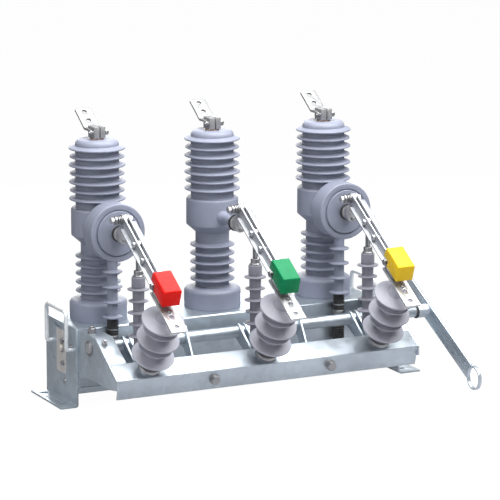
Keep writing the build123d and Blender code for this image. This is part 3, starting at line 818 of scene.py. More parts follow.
class ScatterTree(RepeatTree):
    """Puts one fastener on each point, turned to its axis and scaled to its size."""

    def __init__(self) -> None:
        """Builds the nodes."""
        super().__init__("fasteners_on_points", Part="Object")
        axis = {"Vector": self.attribute("axis", "FLOAT_VECTOR")}
        turn = self.add("FunctionNodeAlignRotationToVector", axis, axis="Z").outputs["Rotation"]
        copy = {
            "Points": self.inputs["Geometry"],
            "Instance": self.part(),
            "Rotation": turn,
            "Scale": self.attribute("size", "FLOAT"),
        }
        self.close(self.add("GeometryNodeInstanceOnPoints", copy).outputs["Instances"])

    def attribute(self, name: str, kind: str) -> Socket:
        """Reads a named attribute of the points."""
        return self.add(
            "GeometryNodeInputNamedAttribute", {"Name": name}, data_type=kind).outputs["Attribute"]


@dataclass(frozen=True)
class ShedForm:
    """One insulator shed: a thin disc that slopes from a filleted root to a rounded rim."""

    root_radius: float
    rim_radius: float
    root: float
    rim: float
    droop: float = 0.0
    fillet: float = 3.0
    hidden: float = 1.5
    skin: float = 0.12

    def mesh(self, segments: int) -> Mesh:
        """Builds the shed on the Z axis, its root's middle at the origin.

        Args:
            segments: Faces round the turn.

        Returns:
            The mesh.
        """
        inner = self.root_radius - self.hidden
        skin = self.root_radius + self.skin
        half = self.root / 2
        tip = self.rim / 2
        foot = half + self.fillet
        points = [
            (inner, foot),
            (skin, foot),
            (skin, half),
            (self.rim_radius, tip - self.droop),
            (self.rim_radius, -tip - self.droop),
            (skin, -half),
            (skin, -foot),
            (inner, -foot),
        ]
        radii = [0, 0, self.fillet, tip * 0.98, tip * 0.98, self.fillet, 0, 0]
        return lathe(rounded(points, radii, closed=True, steps=4), segments, loop=True)


@dataclass(frozen=True)
class ShedRow:
    """A row of sheds at one pitch."""

    form: ShedForm
    count: int
    first: float
    pitch: float
    narrowing: float = 0.0


class Turner:
    """Builds turned resin parts with their rows of sheds."""

    def __init__(self, shop: Workshop) -> None:
        """Keeps the workshop and the tree that repeats sheds."""
        self.shop = shop
        self.tree = StackTree()

    def turn(self, core: Profile, rows: Sequence[ShedRow], finish: Finish, segments: int = 96) -> Mesh:
        """Builds a turned part on the Z axis.

        Args:
            core: Profile of the barrel.
            rows: Its rows of sheds.
            finish: Finish of the part.
            segments: Faces round the turn.

        Returns:
            The mesh.
        """
        mesh = lathe(core, segments)
        for row in rows:
            shed = linked("shed", row.form.mesh(segments))
            values = {
                "Part": shed,
                "Count": row.count,
                "First": row.first * MM,
                "Pitch": row.pitch * MM,
                "Narrowing": row.narrowing,
                "Material": self.shop.material(finish),
            }
            mesh = self.tree.run(mesh, values)
            bpy.data.objects.remove(shed)
        return mesh


class FastenerKind(Enum):
    """The fasteners that the machine has."""

    BOLT = "bolt"
    NUT = "nut"
    RIVET = "rivet"


@dataclass(frozen=True)
class Fastener:
    """One fastener: its seat, the direction of its head and its thread size."""

    place: Vector
    axis: Vector
    thread: float
    kind: FastenerKind = FastenerKind.BOLT
    body: str = "root"


def hex_prism(across: float, low: float, high: float, chamfer: float) -> Mesh:
    """Builds a hexagonal head with a chamfered top.

    Args:
        across: Width across the corners.
        low: Height of its base.
        high: Height of its top.
        chamfer: Size of the chamfer.

    Returns:
        The mesh.
    """
    form = bmesh.new()
    side = across / 2
    levels = ((side, low), (side, high - chamfer), (side - chamfer * 1.6, high))
    rings = [hoop(form, radius, height, 6) for radius, height in levels]
    for lower, upper in zip(rings, rings[1:]):
        for i in range(6):
            j = (i + 1) % 6
            form.faces.new((lower[i], lower[j], upper[j], upper[i]))
    form.faces.new(rings[0][::-1])
    form.faces.new(rings[-1])
    return made(form, "hex")


@dataclass(frozen=True)
class FastenerForm:
    """Shape of the fasteners, in shares of the thread size, with the seat at the origin."""

    washer: tuple[float, float, float] = (1.02, 0.0, 0.20)
    spring: tuple[float, float, float] = (0.82, 0.20, 0.42)
    rim: float = 0.03
    head_across: float = 1.85
    bolt_top: float = 1.07
    nut_top: float = 1.2
    chamfer: float = 0.09
    stud: tuple[Pair, ...] = ((0.0, 1.1), (0.5, 1.1), (0.5, 1.58), (0.42, 1.7), (0.0, 1.7))
    rivet: tuple[Pair, ...] = ((0.0, -0.2), (0.9, -0.2), (0.9, 0.06), (0.55, 0.42), (0.0, 0.5))

    def mesh(self, kind: FastenerKind) -> Mesh:
        """Builds one fastener of thread size 1.

        Args:
            kind: Kind of fastener.

        Returns:
            The mesh, its seat at the origin.
        """
        if kind is FastenerKind.RIVET:
            return lathe(rounded(self.rivet, [0, 0, 0.1, 0.5, 0], steps=3), 20)
        parts = [turned(0.0, *ring, (self.rim, self.rim), 32, 2) for ring in (self.washer, self.spring)]
        top = self.bolt_top if kind is FastenerKind.BOLT else self.nut_top
        parts.append(hex_prism(self.head_across, self.spring[-1], top, self.chamfer))
        if kind is FastenerKind.NUT:
            parts.append(lathe(list(self.stud), 20))
        return join(parts)


class FastenerSet:
    """Gathers fasteners and bakes one piece for each body and kind."""

    def __init__(self, shop: Workshop) -> None:
        """Starts empty.

        Args:
            shop: Workshop that takes the pieces.
        """
        self.shop = shop
        self.tree = ScatterTree()
        self.form = FastenerForm()
        self.items: list[Fastener] = []

    def add(self, items: Iterable[Fastener]) -> None:
        """Adds fasteners."""
        self.items.extend(items)

    def build(self) -> None:
        """Bakes and delivers every group."""
        groups: dict[tuple[str, FastenerKind], list[Fastener]] = {}
        for item in self.items:
            groups.setdefault((item.body, item.kind), []).append(item)
        for (body, kind), members in groups.items():
            points = bpy.data.meshes.new("seats")
            points.from_pydata([item.place * MM for item in members], [], [])
            points.attributes.new("axis", "FLOAT_VECTOR", "POINT")
            points.attributes.new("size", "FLOAT", "POINT")
            for i, item in enumerate(members):
                points.attributes["axis"].data[i].vector = item.axis.normalized()
                points.attributes["size"].data[i].value = item.thread
            part = linked("fastener", self.form.mesh(kind))
            mesh = self.tree.run(points, {"Part": part, "Material": self.shop.material(BOLT_ZINC)})
            bpy.data.objects.remove(part)
            self.shop.deliver(f"{kind.value}s_on_{body}", mesh, body, BOLT_ZINC)


@dataclass
class PhaseUnit:
    """A sub-assembly of one phase."""

    phase: Phase

    @property
    def tag(self) -> str:
        """The letter that its pieces end in."""
        return self.phase.value

    @property
    def x(self) -> float:
        """The X of the phase, read from its static contact."""
        low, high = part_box(f"static_contact_{self.tag}")
        return (low.x + high.x) / 2 / MM


@dataclass
class BreakerPole(PhaseUnit):
    """Cast resin pole: base ring, lower sheds, body, upper sheds and dome."""

    ring_radius: float = 77.5
    ring_height: float = 52.0
    ring_crown: float = 6.0
    barrel: float = 46.0
    cone_start: float = 208.0
    body_start: float = 230.0
    body_end: float = 304.0
    body_radius: float = 71.0
    neck: float = 58.5
    dome: float = 488.0
    lower: ShedRow = ShedRow(ShedForm(46.0, 60.5, 8.0, 4.4, 3.2), 5, 80.0, 23.75)
    upper: ShedRow = ShedRow(ShedForm(58.5, 75.5, 8.0, 4.4, 3.2), 7, 331.0, 22.7, 0.033)
    flare: tuple[Pair, ...] = ((23.0, 40.0), (20.0, 68.0), (12.5, 85.0), (11.0, 144.0))

    def core(self) -> Profile:
        """Gives the profile of the barrel above the box top.

        Returns:
            Radius and height of each point.
        """
        points = [
            (0.0, 0.0),
            (self.ring_radius, 0.0),
            (self.ring_radius, self.ring_height),
            (self.barrel, self.ring_height + self.ring_crown),
            (self.barrel, self.cone_start),
            (self.body_radius, self.body_start),
            (self.body_radius, self.body_end),
            (self.neck, self.body_end),
            (self.neck, self.dome),
            (0.0, self.dome),
        ]
        return rounded(points, [0, 1.5, 11, 5, 3, 4, 12, 3, 14, 0], steps=8)

    def arm(self) -> Mesh:
        """Builds the flared arm that carries the middle phase's outlet.

        Returns:
            The mesh, in its place.
        """
        radius, end = PLACE.outlet_radius, PLACE.outlet_end
        points = [(0.0, self.flare[0][1]), *self.flare, (radius, end), (0.0, end)]
        arm = lathe(rounded(points, [0, 0, 3, 12, 0, 1, 0]), 48)
        return placed(arm, Vector((self.x, 0, PLACE.outlet_z)), FRONT)

    def build(self, turner: Turner) -> None:
        """Builds the pole and, in the middle phase, its outlet arm.

        Args:
            turner: Builder of turned parts, with its workshop.
        """
        mesh = turner.turn(self.core(), (self.lower, self.upper), RESIN)
        parts = [placed(mesh, Vector((self.x, 0, PLACE.box_top)))]
        if self.phase is Phase.B:
            parts.append(self.arm())
        turner.shop.deliver(f"cast_pole_{self.tag}", join(parts), "root", RESIN, f"pole_{self.tag}")


@dataclass
class CurrentTransformer(PhaseUnit):
    """Resin drum with a raised front disc, and the short arm through it."""

    radius: float = 78.0
    front: float = 136.0
    depth: float = 58.0
    neck: float = 60.0
    neck_start: float = 20.0
    disc_radius: float = 59.5
    disc_proud: float = 4.0
    groove: float = 3.0
    groove_width: float = 3.5

    def build(self, turner: Turner) -> None:
        """Builds the drum.

        Args:
            turner: Builder of turned parts, with its workshop.
        """
        face = self.front
        points = [
            (0.0, self.neck_start),
            (self.neck, self.neck_start),
            (self.neck, face - self.depth),
            (self.radius, face - self.depth),
            (self.radius, face),
            (self.disc_radius + self.groove_width, face),
            (self.disc_radius + self.groove_width, face - self.groove),
            (self.disc_radius, face - self.groove),
            (self.disc_radius, face + self.disc_proud),
            (0.0, face + self.disc_proud),
        ]
        drum = lathe(rounded(points, [0, 0, 6, 7, 3.5, 1, 0.5, 0.5, 1.5, 0], steps=6), 128)
        arm = lathe(bar(PLACE.outlet_radius, face, PLACE.outlet_end), 48)
        parts = [
            placed(drum, Vector((self.x, 0, PLACE.ct_z)), FRONT),
            placed(arm, Vector((self.x, 0, PLACE.outlet_z)), FRONT),
        ]
        name = f"transformer_drum_{self.tag}"
        turner.shop.deliver(name, join(parts), "root", RESIN, f"current_transformer_{self.tag}")


@dataclass
class TransformerLead(PhaseUnit):
    """Shedded resin bushing that goes down into a ribbed conduit with two clamps."""

    offset: float = -12.0
    lead_y: float = -121.5
    radius: float = 14.0
    bottom: float = 23.0
    top: float = 193.0
    sheds: ShedRow = ShedRow(ShedForm(14.0, 27.0, 7.0, 3.4, 1.0, 2.5), 4, 30.0, 41.0)
    conduit: float = 14.2
    conduit_bottom: float = -105.0
    conduit_lap: float = 0.2
    ribs: ShedRow = ShedRow(ShedForm(14.2, 16.0, 3.0, 2.2, 0.0, 0.6, 1.0), 21, -102.0, 6.0)
    band: Pair = (-6.0, -2.8)
    band_wall: Pair = (13.2, 16.8)
    clamp: float = 16.5
    clamp_tops: tuple[float, ...] = (-20.0, -105.0)
    clamp_height: float = 16.0
    block_half: float = 13.0
    block_inset: float = 1.0

    def clamps(self) -> Mesh:
        """Builds the conduit's band and its clamps, each on a block against the box.

        Returns:
            The joined mesh, on the Z axis.
        """
        parts = [turned(*self.band_wall, *self.band, (0.6, 0.6))]
        for top in self.clamp_tops:
            bottom = top - self.clamp_height
            parts.append(turned(0.0, self.clamp, bottom, top, (1.5, 1.5)))
            low = Vector((-self.block_half, 0, bottom + self.block_inset))
            high = Vector((self.block_half, PLACE.box_front - self.lead_y, top - self.block_inset))
            parts.append(box_mesh(low, high, 1.0))
        return join(parts)

    def build(self, turner: Turner) -> None:
        """Builds the bushing, the conduit, its band and its clamps.

        Args:
            turner: Builder of turned parts, with its workshop.
        """
        base = Vector((self.x + self.offset, self.lead_y, PLACE.box_top))
        core = bar(self.radius, self.bottom, self.top)
        pipe = bar(self.conduit, self.conduit_bottom, self.bottom + self.conduit_lap)
        bushing = turner.turn(core, (self.sheds,), RESIN, 64)
        hose = turner.turn(pipe, (self.ribs,), RUBBER, 48)
        for name, mesh, finish, *nodes in (
            ("lead_bushing", bushing, RESIN, f"ct_lead_{self.tag}"),
            ("ribbed_conduit", hose, RUBBER, f"lead_conduit_{self.tag}"),
            ("conduit_clamps", self.clamps(), BOLT_ZINC),
        ):
            turner.shop.deliver(f"{name}_{self.tag}", placed(mesh, base), "root", finish, *nodes)


@dataclass
class PostInsulator(PhaseUnit):
    """Leaning resin post with three large and two small sheds between metal fittings."""

    reach: float = 318.7
    height: float = 210.0
    core_start: float = 6.0
    core_radius: float = 26.0
    cone_radius: float = 23.0
    cone_end: float = 172.0
    tip_radius: float = 17.0
    # Near-black sleeve round the core's foot: painted shade under the lowest shed.
    shade_sleeve: tuple[float, float, float] = (26.4, 9.0, 40.0)
    foot_radius: float = 30.0
    foot_rim: float = 5.0
    foot_crown: float = 27.0
    foot_height: float = 10.0
    insert_radius: float = 11.5
    insert_height: float = 9.0
    insert_lap: float = 2.0
    sheds: tuple[ShedRow, ...] = (
        ShedRow(ShedForm(23.0, 57.0, 11.0, 4.6, 3.5, 2.5, 3.0), 3, 50.0, 61.0),
        ShedRow(ShedForm(23.0, 46.0, 10.0, 3.8, 1.0, 2.5, 3.0), 2, 81.0, 61.0),
    )

    def fittings(self) -> Mesh:
        """Builds the post's metal foot and the insert at its top.

        Returns:
            The joined mesh, on the Z axis.
        """
        foot = [
            (0.0, 0.0),
            (self.foot_radius, 0.0),
            (self.foot_radius, self.foot_rim),
            (self.foot_crown, self.foot_height),
            (0.0, self.foot_height),
        ]
        low = self.height - self.insert_height - self.insert_lap
        insert = turned(0.0, self.insert_radius, low, self.height, (0, 0.6), 40)
        return join([lathe(rounded(foot, [0, 0.5, 2.0, 1.0, 0]), 64), insert])

    def build(self, turner: Turner) -> None:
        """Builds the post, its near-black sleeve of painted shade under the lowest shed, and its two metal
        fittings.

        Args:
            turner: Builder of turned parts, with its workshop.
        """
        base = PLACE.on_lean(self.x, self.reach, -PLACE.frame_drop)
        shoulder = self.height - self.insert_height
        points = [
            (0.0, self.core_start),
            (self.core_radius, self.core_start),
            (self.cone_radius, self.cone_end),
            (self.tip_radius, shoulder),
            (0.0, shoulder),
        ]
        post = turner.turn(rounded(points, [0, 2, 14, 2.5, 0]), self.sheds, POST_RESIN, 80)
        for name, mesh, finish, *nodes in (
            ("post", post, POST_RESIN, f"post_insulator_{self.tag}"),
            ("post_sleeve", turned(0.0, *self.shade_sleeve, (0.6, 1.5), 64), SHADE_SLEEVE),
            ("post_fittings", self.fittings(), BOLT_ZINC),
        ):
            mesh = placed(mesh, base, PLACE.rise)
            turner.shop.deliver(f"{name}_{self.tag}", mesh, "root", finish, *nodes)


@dataclass(frozen=True)
class Tang:
    """Flat steel tang across X: a round, holed eye on a square shank."""

    eye_height: float
    shank_end: float
    shank_width: float
    eye: float = 12.0
    hole: float = 5.5
    thickness: float = 8.0

    def mesh(self) -> Mesh:
        """Builds the tang, its eye on the Z axis.

        Returns:
            The mesh.
        """
        half = self.shank_width / 2
        way = 1 if self.shank_end > self.eye_height else -1
        open_half = asin(min(1.0, half / self.eye))
        centre = (0.0, self.eye_height)
        bow = arc(centre, self.eye, way * (pi / 2 + open_half), way * 2 * (pi - open_half))
        outline = [*bow, (half, self.shank_end), (-half, self.shank_end)]
        hole = arc(centre, self.hole, 0.0, 2 * pi)[:-1]
        return plate(outline, hole, self.thickness)


@dataclass
class PullRod(PhaseUnit):
    """Insulating rod with sheds, held by a steel tang at each end."""

    bottom: float = 72.0
    head_start: float = 223.0
    top: float = 251.0
    bottom_radius: float = 13.5
    top_radius: float = 16.0
    head_radius: float = 18.0
    ferrule_height: float = 17.0
    ferrule_radius: float = 12.0
    collar_radius: float = 15.0
    collar: tuple[float, float, float] = (-1.0, 3.0, 5.0)
    foot_radius: float = 14.5
    lap: float = 2.0
    length: float = 336.0
    shank_widths: Pair = (24.0, 14.0)
    sheds: ShedRow = ShedRow(ShedForm(14.0, 29.0, 7.0, 3.2, 1.5, 2.5, 2.5), 5, 94.5, 31.25, 0.10)

    def core(self) -> Profile:
        """Gives the profile of the rod and its thicker head.

        Returns:
            Radius and height of each point.
        """
        points = [
            (0.0, self.bottom - self.lap),
            (self.bottom_radius, self.bottom - self.lap),
            (self.top_radius, self.head_start),
            (self.head_radius, self.head_start),
            (self.head_radius, self.top),
            (0.0, self.top),
        ]
        return rounded(points, [0, 1.5, 1.0, 1.5, 3.0, 0], steps=4)

    def tangs(self) -> Mesh:
        """Builds the ferrules and the tangs that they hold.

        Returns:
            The joined mesh, its lower eye at the origin.
        """
        neck = self.bottom - self.ferrule_height
        crown = self.top + self.ferrule_height
        low, rim, high = (self.top + offset for offset in self.collar)
        head = [
            (0.0, low),
            (self.collar_radius, low),
            (self.collar_radius, rim),
            (self.ferrule_radius, high),
            (self.ferrule_radius, crown),
            (0.0, crown),
        ]
        wide, narrow = self.shank_widths
        return join([
            lathe(rounded(head, [0, 0, 1.0, 1.0, 2.0, 0]), 40),
            turned(0.0, self.foot_radius, neck, self.bottom, (2.0, 1.0), 40),
            Tang(0.0, neck + self.lap, wide).mesh(),
            Tang(self.length, crown - self.lap, narrow).mesh(),
        ])

    def build(self, turner: Turner) -> None:
        """Builds the rod and its tangs.

        Args:
            turner: Builder of turned parts, with its workshop.
        """
        shop = turner.shop
        body = f"rod_{self.tag}"
        pin = Vector((self.x, PLACE.hinge_y, PLACE.shaft_z)) + PLACE.down * PLACE.crank
        mesh = placed(turner.turn(self.core(), (self.sheds,), ROD_RESIN, 64), pin)
        shop.deliver(f"rod_resin_{self.tag}", mesh, body, ROD_RESIN, f"pull_rod_{self.tag}")
        shop.deliver(f"rod_tangs_{self.tag}", placed(self.tangs(), pin), body, BOLT_ZINC)


@dataclass
class TopTerminal(PhaseUnit):
    """Split clamp on the stud, its bolt and the bent lug."""

    clamp_middle: float = 721.0
    clamp_half: float = 17.0
    bolt_y: float = -12.0
    bolt_thread: float = 9.0
    nut_thread: float = 7.0
    seat_radius: float = 19.0
    seat: Pair = (701.0, 705.5)

    def build(self, shop: Workshop) -> list[Fastener]:
        """Dresses the clamp and gives back its fasteners.

        Args:
            shop: Workshop that takes the pieces.

        Returns:
            The bolt and the nut of the clamp.
        """
        shop.soften(f"line_terminal_{self.tag}", f"top_terminal_{self.tag}", 0.9, LUG_TIN)
        seat = placed(turned(0.0, self.seat_radius, *self.seat, (0, 1.0)), Vector((self.x, 0, 0)))
        shop.deliver(f"terminal_seat_{self.tag}", seat, "root", COPPER)
        middle = Vector((self.x, self.bolt_y, self.clamp_middle))
        return [
            Fastener(middle + RIGHT * self.clamp_half, RIGHT, self.bolt_thread),
            Fastener(middle + LEFT * self.clamp_half, LEFT, self.nut_thread, FastenerKind.NUT),
        ]


@dataclass
class HingeTerminal(PhaseUnit):
    """Clamp on the outlet, its ear, and the hinge pin with washers, a spring and a nut."""

    pin_radius: float = 6.0
    bar_face: float = 9.6
    washers: tuple[Pair, ...] = (
        (12.5, 2.6), (8.0, 1.2), (12.0, 2.4), (8.0, 1.2), (11.5, 3.0), (7.5, 1.6), (11.0, 6.2), (9.0, 1.6))
    washer_gap: float = 0.3
    collar: tuple[float, float, float] = (20.0, 149.0, 156.5)
    # Dark rubber ring behind the collar: painted shade, the shadow in the gap between the drum and the
    # collar.
    shade_ring: tuple[float, float, float] = (23.0, 144.5, 149.0)
    bolt_drop: float = 14.0
    bolt_y: float = -176.0
    bolt_thread: float = 6.5

    def build(self, shop: Workshop) -> list[Fastener]:
        """Builds the pin's stack and the outlet's collar, with a dark ring of painted shade behind it, and
        gives back the fastener.

        Args:
            shop: Workshop that takes the pieces.

        Returns:
            The bolt of the clamp.
        """
        shop.soften(f"hinge_clamp_{self.tag}", f"hinge_terminal_{self.tag}", 0.9, TIN)
        hinge = PLACE.on_lean(self.x, 0, 0)
        parts = []
        for way, washers in ((LEFT, self.washers), (RIGHT, self.washers[:1])):
            out = self.bar_face
            for radius, width in washers:
                ring = turned(self.pin_radius, radius, out, out + width, (0.7, 0.7), 32, 3)
                parts.append(placed(ring, hinge, way))
                out += width + self.washer_gap
        shop.deliver(f"hinge_washers_{self.tag}", join(parts), "root", BOLT_ZINC)
        outlet = Vector((self.x, 0, PLACE.outlet_z))
        for name, ring, finish in (
            ("outlet_collar", self.collar, TIN),
            # The dark ring is painted shade behind the collar.
            ("outlet_gasket", self.shade_ring, RUBBER),
        ):
            mesh = placed(turned(PLACE.outlet_radius, *ring, (1.2, 1.2)), outlet, FRONT)
            shop.deliver(f"{name}_{self.tag}", mesh, "root", finish)
        seat = Vector((self.x, self.bolt_y, PLACE.outlet_z - self.bolt_drop))
        return [Fastener(seat, FRONT, self.bolt_thread)]


@dataclass
class SwitchBlade(PhaseUnit):
    """The two bars of a blade with their bolts, and the coloured cap."""

    tip_reach: float = 256.0
    tip_head: tuple[float, float, float] = (8.3, 19.0, 26.5)
    bolt_reaches: tuple[float, ...] = (98.5, 160.0)
    washer: tuple[float, float, float] = (9.6, 8.8, 10.6)

    def build(self, shop: Workshop) -> None:
        """Dresses the bars and the cap, and adds the round head of the tip bolt.

        Args:
            shop: Workshop that takes the pieces.
        """
        body = f"switch_blade_{self.tag}"
        shop.soften(f"blade_bars_{self.tag}", f"blade_{self.tag}", 0.5, BLADE_TIN, body)
        shop.soften(f"cap_{self.tag}", f"phase_cap_{self.tag}", 0.9, CAP_FINISH[self.phase], body)
        head = turned(0.0, *self.tip_head, (0.8, 1.6), 40)
        parts = [placed(head, PLACE.on_lean(self.x, self.tip_reach, 0), LEFT)]
        for reach in self.bolt_reaches:
            for way in (LEFT, RIGHT):
                washer = turned(0.0, *self.washer, (0.3, 0.3), 32, 2)
                parts.append(placed(washer, PLACE.on_lean(self.x, reach, 0), way))
        shop.deliver(f"blade_washers_{self.tag}", join(parts), body, BOLT_ZINC)


@dataclass
class StaticContact(PhaseUnit):
    """Contact plate on the post, with its fixing bolt."""

    bolt_reach: float = 336.5
    top: float = -19.0
    bolt_thread: float = 5.6

    def build(self, shop: Workshop) -> list[Fastener]:
        """Dresses the plate and gives back its fastener.

        Args:
            shop: Workshop that takes the pieces.

        Returns:
            The fixing bolt.
        """
        shop.soften(f"contact_plate_{self.tag}", f"static_contact_{self.tag}", 0.8, TIN)
        return [Fastener(PLACE.on_lean(self.x, self.bolt_reach, self.top), PLACE.rise, self.bolt_thread)]


@dataclass
class Frame:
    """Galvanised housing, feet, shaft and isolator frame, with their fasteners."""

    sheet_nodes: tuple[str, ...] = (
        "left_end_plate",
        "right_end_plate",
        "right_foot_bracket",
        "left_gusset",
        "right_gusset",
        "front_beam",
        "shaft_support_plates",
        "operating_lever",
        "operating_shaft",
        "mechanism_box",
    )
    moving_nodes: tuple[str, ...] = ("operating_lever", "operating_shaft")
    plain_nodes: tuple[tuple[str, Finish], ...] = (
        ("box_base_tray", TRAY_ZINC),
        ("left_carry_handle", ROD_ZINC),
        ("right_carry_handle", ROD_ZINC),
        ("lock_plate", STAINLESS),
        ("charging_shaft", STAINLESS),
    )
    sheet_edge: float = 1.0
    apron_lean: float = 15.0
    apron_top: float = 129.7
    apron_top_y: float = -358.0
    apron_bolts: tuple[float, ...] = (-189.0, 155.0)
    apron_bolt_height: float = 105.4
    apron_thread: float = 14.5
    flange_inset: float = 21.0
    flat_nut: Pair = (-160.0, 12.0)
    sloped_nut: Pair = (-241.0, 9.0)
    lock_proud: float = 3.0
    lock_bolts: tuple[Pair, ...] = ((-22.0, 168.0), (-22.0, 105.5))
    lock_thread: float = 7.0
    handle_bolt: tuple[float, float, float] = (-63.0, 155.0, 9.5)
    rivets: tuple[tuple[float, float, float], ...] = ((-23.5, 55.3, 9.0), (46.0, 109.0, 5.0))
    shaft_end: float = -470.0
    hub_end: float = 516.0
    bush: tuple[float, float, float] = (16.6, 21.0, 3.0)
    hub_washer: tuple[float, float, float] = (16.6, 19.6, 4.5)
    stub: tuple[Pair, ...] = ((0.0, -2.0), (15.0, -2.0), (15.0, 4.0), (0.0, 6.0))

    def on_slope(self, x: float, y: float) -> Vector:
        """Gives the point of the frame's sloped top at an X and a Y."""
        lean = radians(PLACE.lean)
        drop = (PLACE.frame_drop + (PLACE.hinge_y - y) * sin(lean)) / cos(lean)
        return Vector((x, y, PLACE.hinge_z - drop))

    def on_apron(self, x: float, z: float) -> Vector:
        """Gives the point of the apron's face at an X and a Z."""
        return Vector((x, self.apron_top_y + (self.apron_top - z) * tan(radians(self.apron_lean)), z))

    def fasteners(self) -> list[Fastener]:
        """Gives the fasteners of apron, gussets, lock plate and left end plate.

        Returns:
            Bolts, nuts and rivets in order.
        """
        lean = radians(self.apron_lean)
        out = Vector((0, -cos(lean), -sin(lean)))
        items = []
        for x in self.apron_bolts:
            items.append(Fastener(self.on_apron(x, self.apron_bolt_height), out, self.apron_thread))
        nut = FastenerKind.NUT
        for x in (PLACE.left_wall + self.flange_inset, PLACE.right_wall - self.flange_inset):
            y, thread = self.flat_nut
            items.append(Fastener(Vector((x, y, PLACE.box_top)), UP, thread, nut))
            y, thread = self.sloped_nut
            items.append(Fastener(self.on_slope(x, y), PLACE.rise, thread, nut))
        for y, z in self.lock_bolts:
            seat = Vector((PLACE.left_wall - self.lock_proud, y, z))
            items.append(Fastener(seat, LEFT, self.lock_thread))
        y, z, thread = self.handle_bolt
        items.append(Fastener(Vector((PLACE.left_wall, y, z)), LEFT, thread))
        for y, z, thread in self.rivets:
            items.append(Fastener(Vector((PLACE.left_wall, y, z)), LEFT, thread, FastenerKind.RIVET))
        return items

    def build(self, shop: Workshop) -> list[Fastener]:
        """Dresses the metalwork, adds the rings of the shaft and gives back the fasteners.

        Args:
            shop: Workshop that takes the pieces.

        Returns:
            The fasteners of the metalwork.
        """
        for node in self.sheet_nodes:
            body = "shaft" if node in self.moving_nodes else "root"
            shop.soften(f"{node}_zinc", node, self.sheet_edge, ZINC, body)
        for node, finish in self.plain_nodes:
            shop.dress(node, finish)
        end = Vector((self.shaft_end, PLACE.hinge_y, PLACE.shaft_z))
        hub = Vector((self.hub_end, PLACE.hinge_y, PLACE.shaft_z))
        bore, radius, width = self.bush
        points = [(bore, 0.0), (radius, 0.0), (radius, width), (bore, width)]
        bush = lathe(rounded(points, [0, 0.6, 1.2, 0.6], closed=True), 48, loop=True)
        stub = lathe(rounded(self.stub, [0, 0, 2.5, 8.0], steps=6), 48)
        bore, radius, width = self.hub_washer
        washer = turned(bore, radius, 0.0, width, (0.8, 0.8))
        for name, mesh, place, body, finish in (
            ("shaft_bush", bush, end, "root", BOLT_ZINC),
            ("shaft_end", stub, end, "shaft", TIN),
            ("hub_washer", washer, hub, "shaft", RUBBER),
        ):
            shop.deliver(name, placed(mesh, place, LEFT), body, finish)
        return self.fasteners()


@dataclass(frozen=True)
class Softbox:
    """One square soft light, aimed at the middle of the object. Places are in metres."""

    name: str
    place: Vector
    size: float
    power: float
    aim: Vector = Vector((0, -0.1, 0.35))

    def build(self) -> None:
        """Builds the light."""
        data = bpy.data.lights.new(self.name, "AREA")
        data.size = self.size
        data.energy = self.power
        lamp = linked(self.name, data)
        lamp.location = self.place
        lamp.rotation_euler = (self.aim - self.place).to_track_quat("-Z", "Y").to_euler()


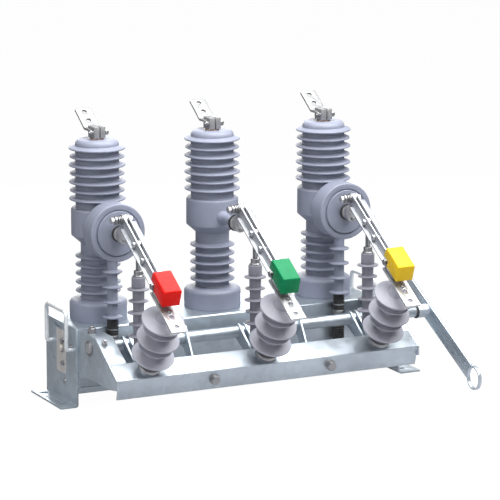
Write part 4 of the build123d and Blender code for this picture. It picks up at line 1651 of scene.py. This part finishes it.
class Studio:
    """Pale floor, soft lights, plain world and the camera of the photograph."""

    frame_pixels: float = 500.0
    focal_pixels: float = 2961.6
    sensor: float = 36.0
    aim: Vector = Vector((-25.0, -100.0, 380.0))
    azimuth: float = -25.99
    elevation: float = 11.96
    distance: float = 8000.0
    clip_end: float = 100.0
    centre_pixels: Pair = (228.28, 252.58)
    floor_half: float = 30.0
    floor_front: Colour = (0.40, 0.405, 0.425)
    # The darker tone behind the object is painted shade, for the falloff of light behind it.
    floor_back_shade: Colour = (0.18, 0.184, 0.195)
    floor_fade: Pair = (-0.45, 0.35)
    floor_glow: float = 1.09
    floor_camera_share: float = 0.90
    floor_gloss_share: float = 0.06
    sky_tone: Colour = (0.93, 0.96, 1.0)
    sky_strength: float = 0.19
    sky_gloss_share: float = 0.22
    lights: tuple[Softbox, ...] = (
        Softbox("overhead", Vector((0.5, -0.85, 2.9)), 3.6, 240.0),
        Softbox("key", Vector((-2.9, -1.2, 2.0)), 1.8, 34.0),
        Softbox("rear", Vector((0.9, 2.6, 0.9)), 1.6, 30.0),
    )

    def build(self) -> None:
        """Builds everything that isn't part of the object."""
        self.floor()
        self.world()
        for light in self.lights:
            light.build()
        self.camera()

    def share(self, nodes: Nodes, camera: float, gloss: float) -> Socket:
        """Gives how far a ray sees the white background.

        Args:
            nodes: Nodes of the floor or the world.
            camera: Share for camera and transmission rays.
            gloss: Share for glossy rays.

        Returns:
            The share.
        """
        path = nodes.add("ShaderNodeLightPath").outputs
        total: Socket | float = 0.0
        for ray, weight in (("Camera", camera), ("Glossy", gloss), ("Transmission", camera)):
            inputs = {0: path[f"Is {ray} Ray"], 1: weight, 2: total}
            total = nodes.add("ShaderNodeMath", inputs, operation="MULTIPLY_ADD").outputs[0]
        return total

    def fade(self, nodes: Nodes) -> Socket:
        """Gives the floor's tone, darker behind the object: painted shade, where the light falls off as on a
        lit sweep.

        Args:
            nodes: Nodes of the floor.

        Returns:
            The colour.
        """
        place = nodes.add("ShaderNodeNewGeometry").outputs["Position"]
        depth = nodes.add("ShaderNodeSeparateXYZ", {"Vector": place}).outputs["Y"]
        share = nodes.span(depth, 0.0, 1.0, self.floor_fade)
        return nodes.mix(share, (*self.floor_front, 1), (*self.floor_back_shade, 1))

    def floor(self) -> None:
        """Builds the floor, which keeps the object's shadow."""
        mesh = bpy.data.meshes.new("floor")
        half = self.floor_half
        mesh.from_pydata(
            [(-half, -half, 0), (half, -half, 0), (half, half, 0), (-half, half, 0)], [], [(0, 1, 2, 3)])
        floor = linked("floor", mesh)
        material = bpy.data.materials.new("pale_floor")
        material.use_nodes = True
        nodes = Nodes(material.node_tree)
        matt = nodes.add("ShaderNodeBsdfDiffuse", {"Color": self.fade(nodes)})
        glow = nodes.add("ShaderNodeEmission", {"Strength": self.floor_glow})
        share = self.share(nodes, self.floor_camera_share, self.floor_gloss_share)
        nodes.blend(share, matt, glow, "ShaderNodeOutputMaterial")
        mesh.materials.append(material)

    def world(self) -> None:
        """Builds the world: white to the camera, paler in gloss, softer as light."""
        world = bpy.data.worlds.new("studio")
        bpy.context.scene.world = world
        world.use_nodes = True
        nodes = Nodes(world.node_tree)
        sky = {"Color": (*self.sky_tone, 1), "Strength": self.sky_strength}
        soft = nodes.add("ShaderNodeBackground", sky)
        white = nodes.add("ShaderNodeBackground", {"Color": (1, 1, 1, 1)})
        share = self.share(nodes, 1.0, self.sky_gloss_share)
        nodes.blend(share, soft, white, "ShaderNodeOutputWorld")

    def camera(self) -> None:
        """Builds the camera from the view fitted to the photograph."""
        turn = radians(self.azimuth)
        tilt = radians(self.elevation)
        back = Vector((sin(turn) * cos(tilt), -cos(turn) * cos(tilt), sin(tilt)))
        data = bpy.data.cameras.new("camera")
        data.sensor_width = self.sensor
        data.lens = self.focal_pixels / self.frame_pixels * self.sensor
        data.shift_x = (self.frame_pixels / 2 - self.centre_pixels[0]) / self.frame_pixels
        data.shift_y = (self.centre_pixels[1] - self.frame_pixels / 2) / self.frame_pixels
        data.clip_end = self.clip_end
        camera = linked("camera", data)
        camera.location = (self.aim + back * self.distance) * MM
        camera.rotation_euler = (-back).to_track_quat("-Z", "Y").to_euler()
        bpy.context.scene.camera = camera


def main() -> None:
    """Builds the whole scene."""
    logging.basicConfig(level=logging.INFO, format="%(name)s: %(message)s")
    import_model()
    shop = Workshop()
    turner = Turner(shop)
    fasteners = FastenerSet(shop)
    fasteners.add(Frame().build(shop))
    for phase in Phase:
        BreakerPole(phase).build(turner)
        if phase is not Phase.B:
            CurrentTransformer(phase).build(turner)
            TransformerLead(phase).build(turner)
        fasteners.add(TopTerminal(phase).build(shop))
        fasteners.add(HingeTerminal(phase).build(shop))
        SwitchBlade(phase).build(shop)
        fasteners.add(StaticContact(phase).build(shop))
        PostInsulator(phase).build(turner)
        PullRod(phase).build(turner)
    fasteners.build()
    Studio().build()
    view = bpy.context.scene.view_settings
    view.view_transform = "Standard"


if __name__ == "__main__":
    main()
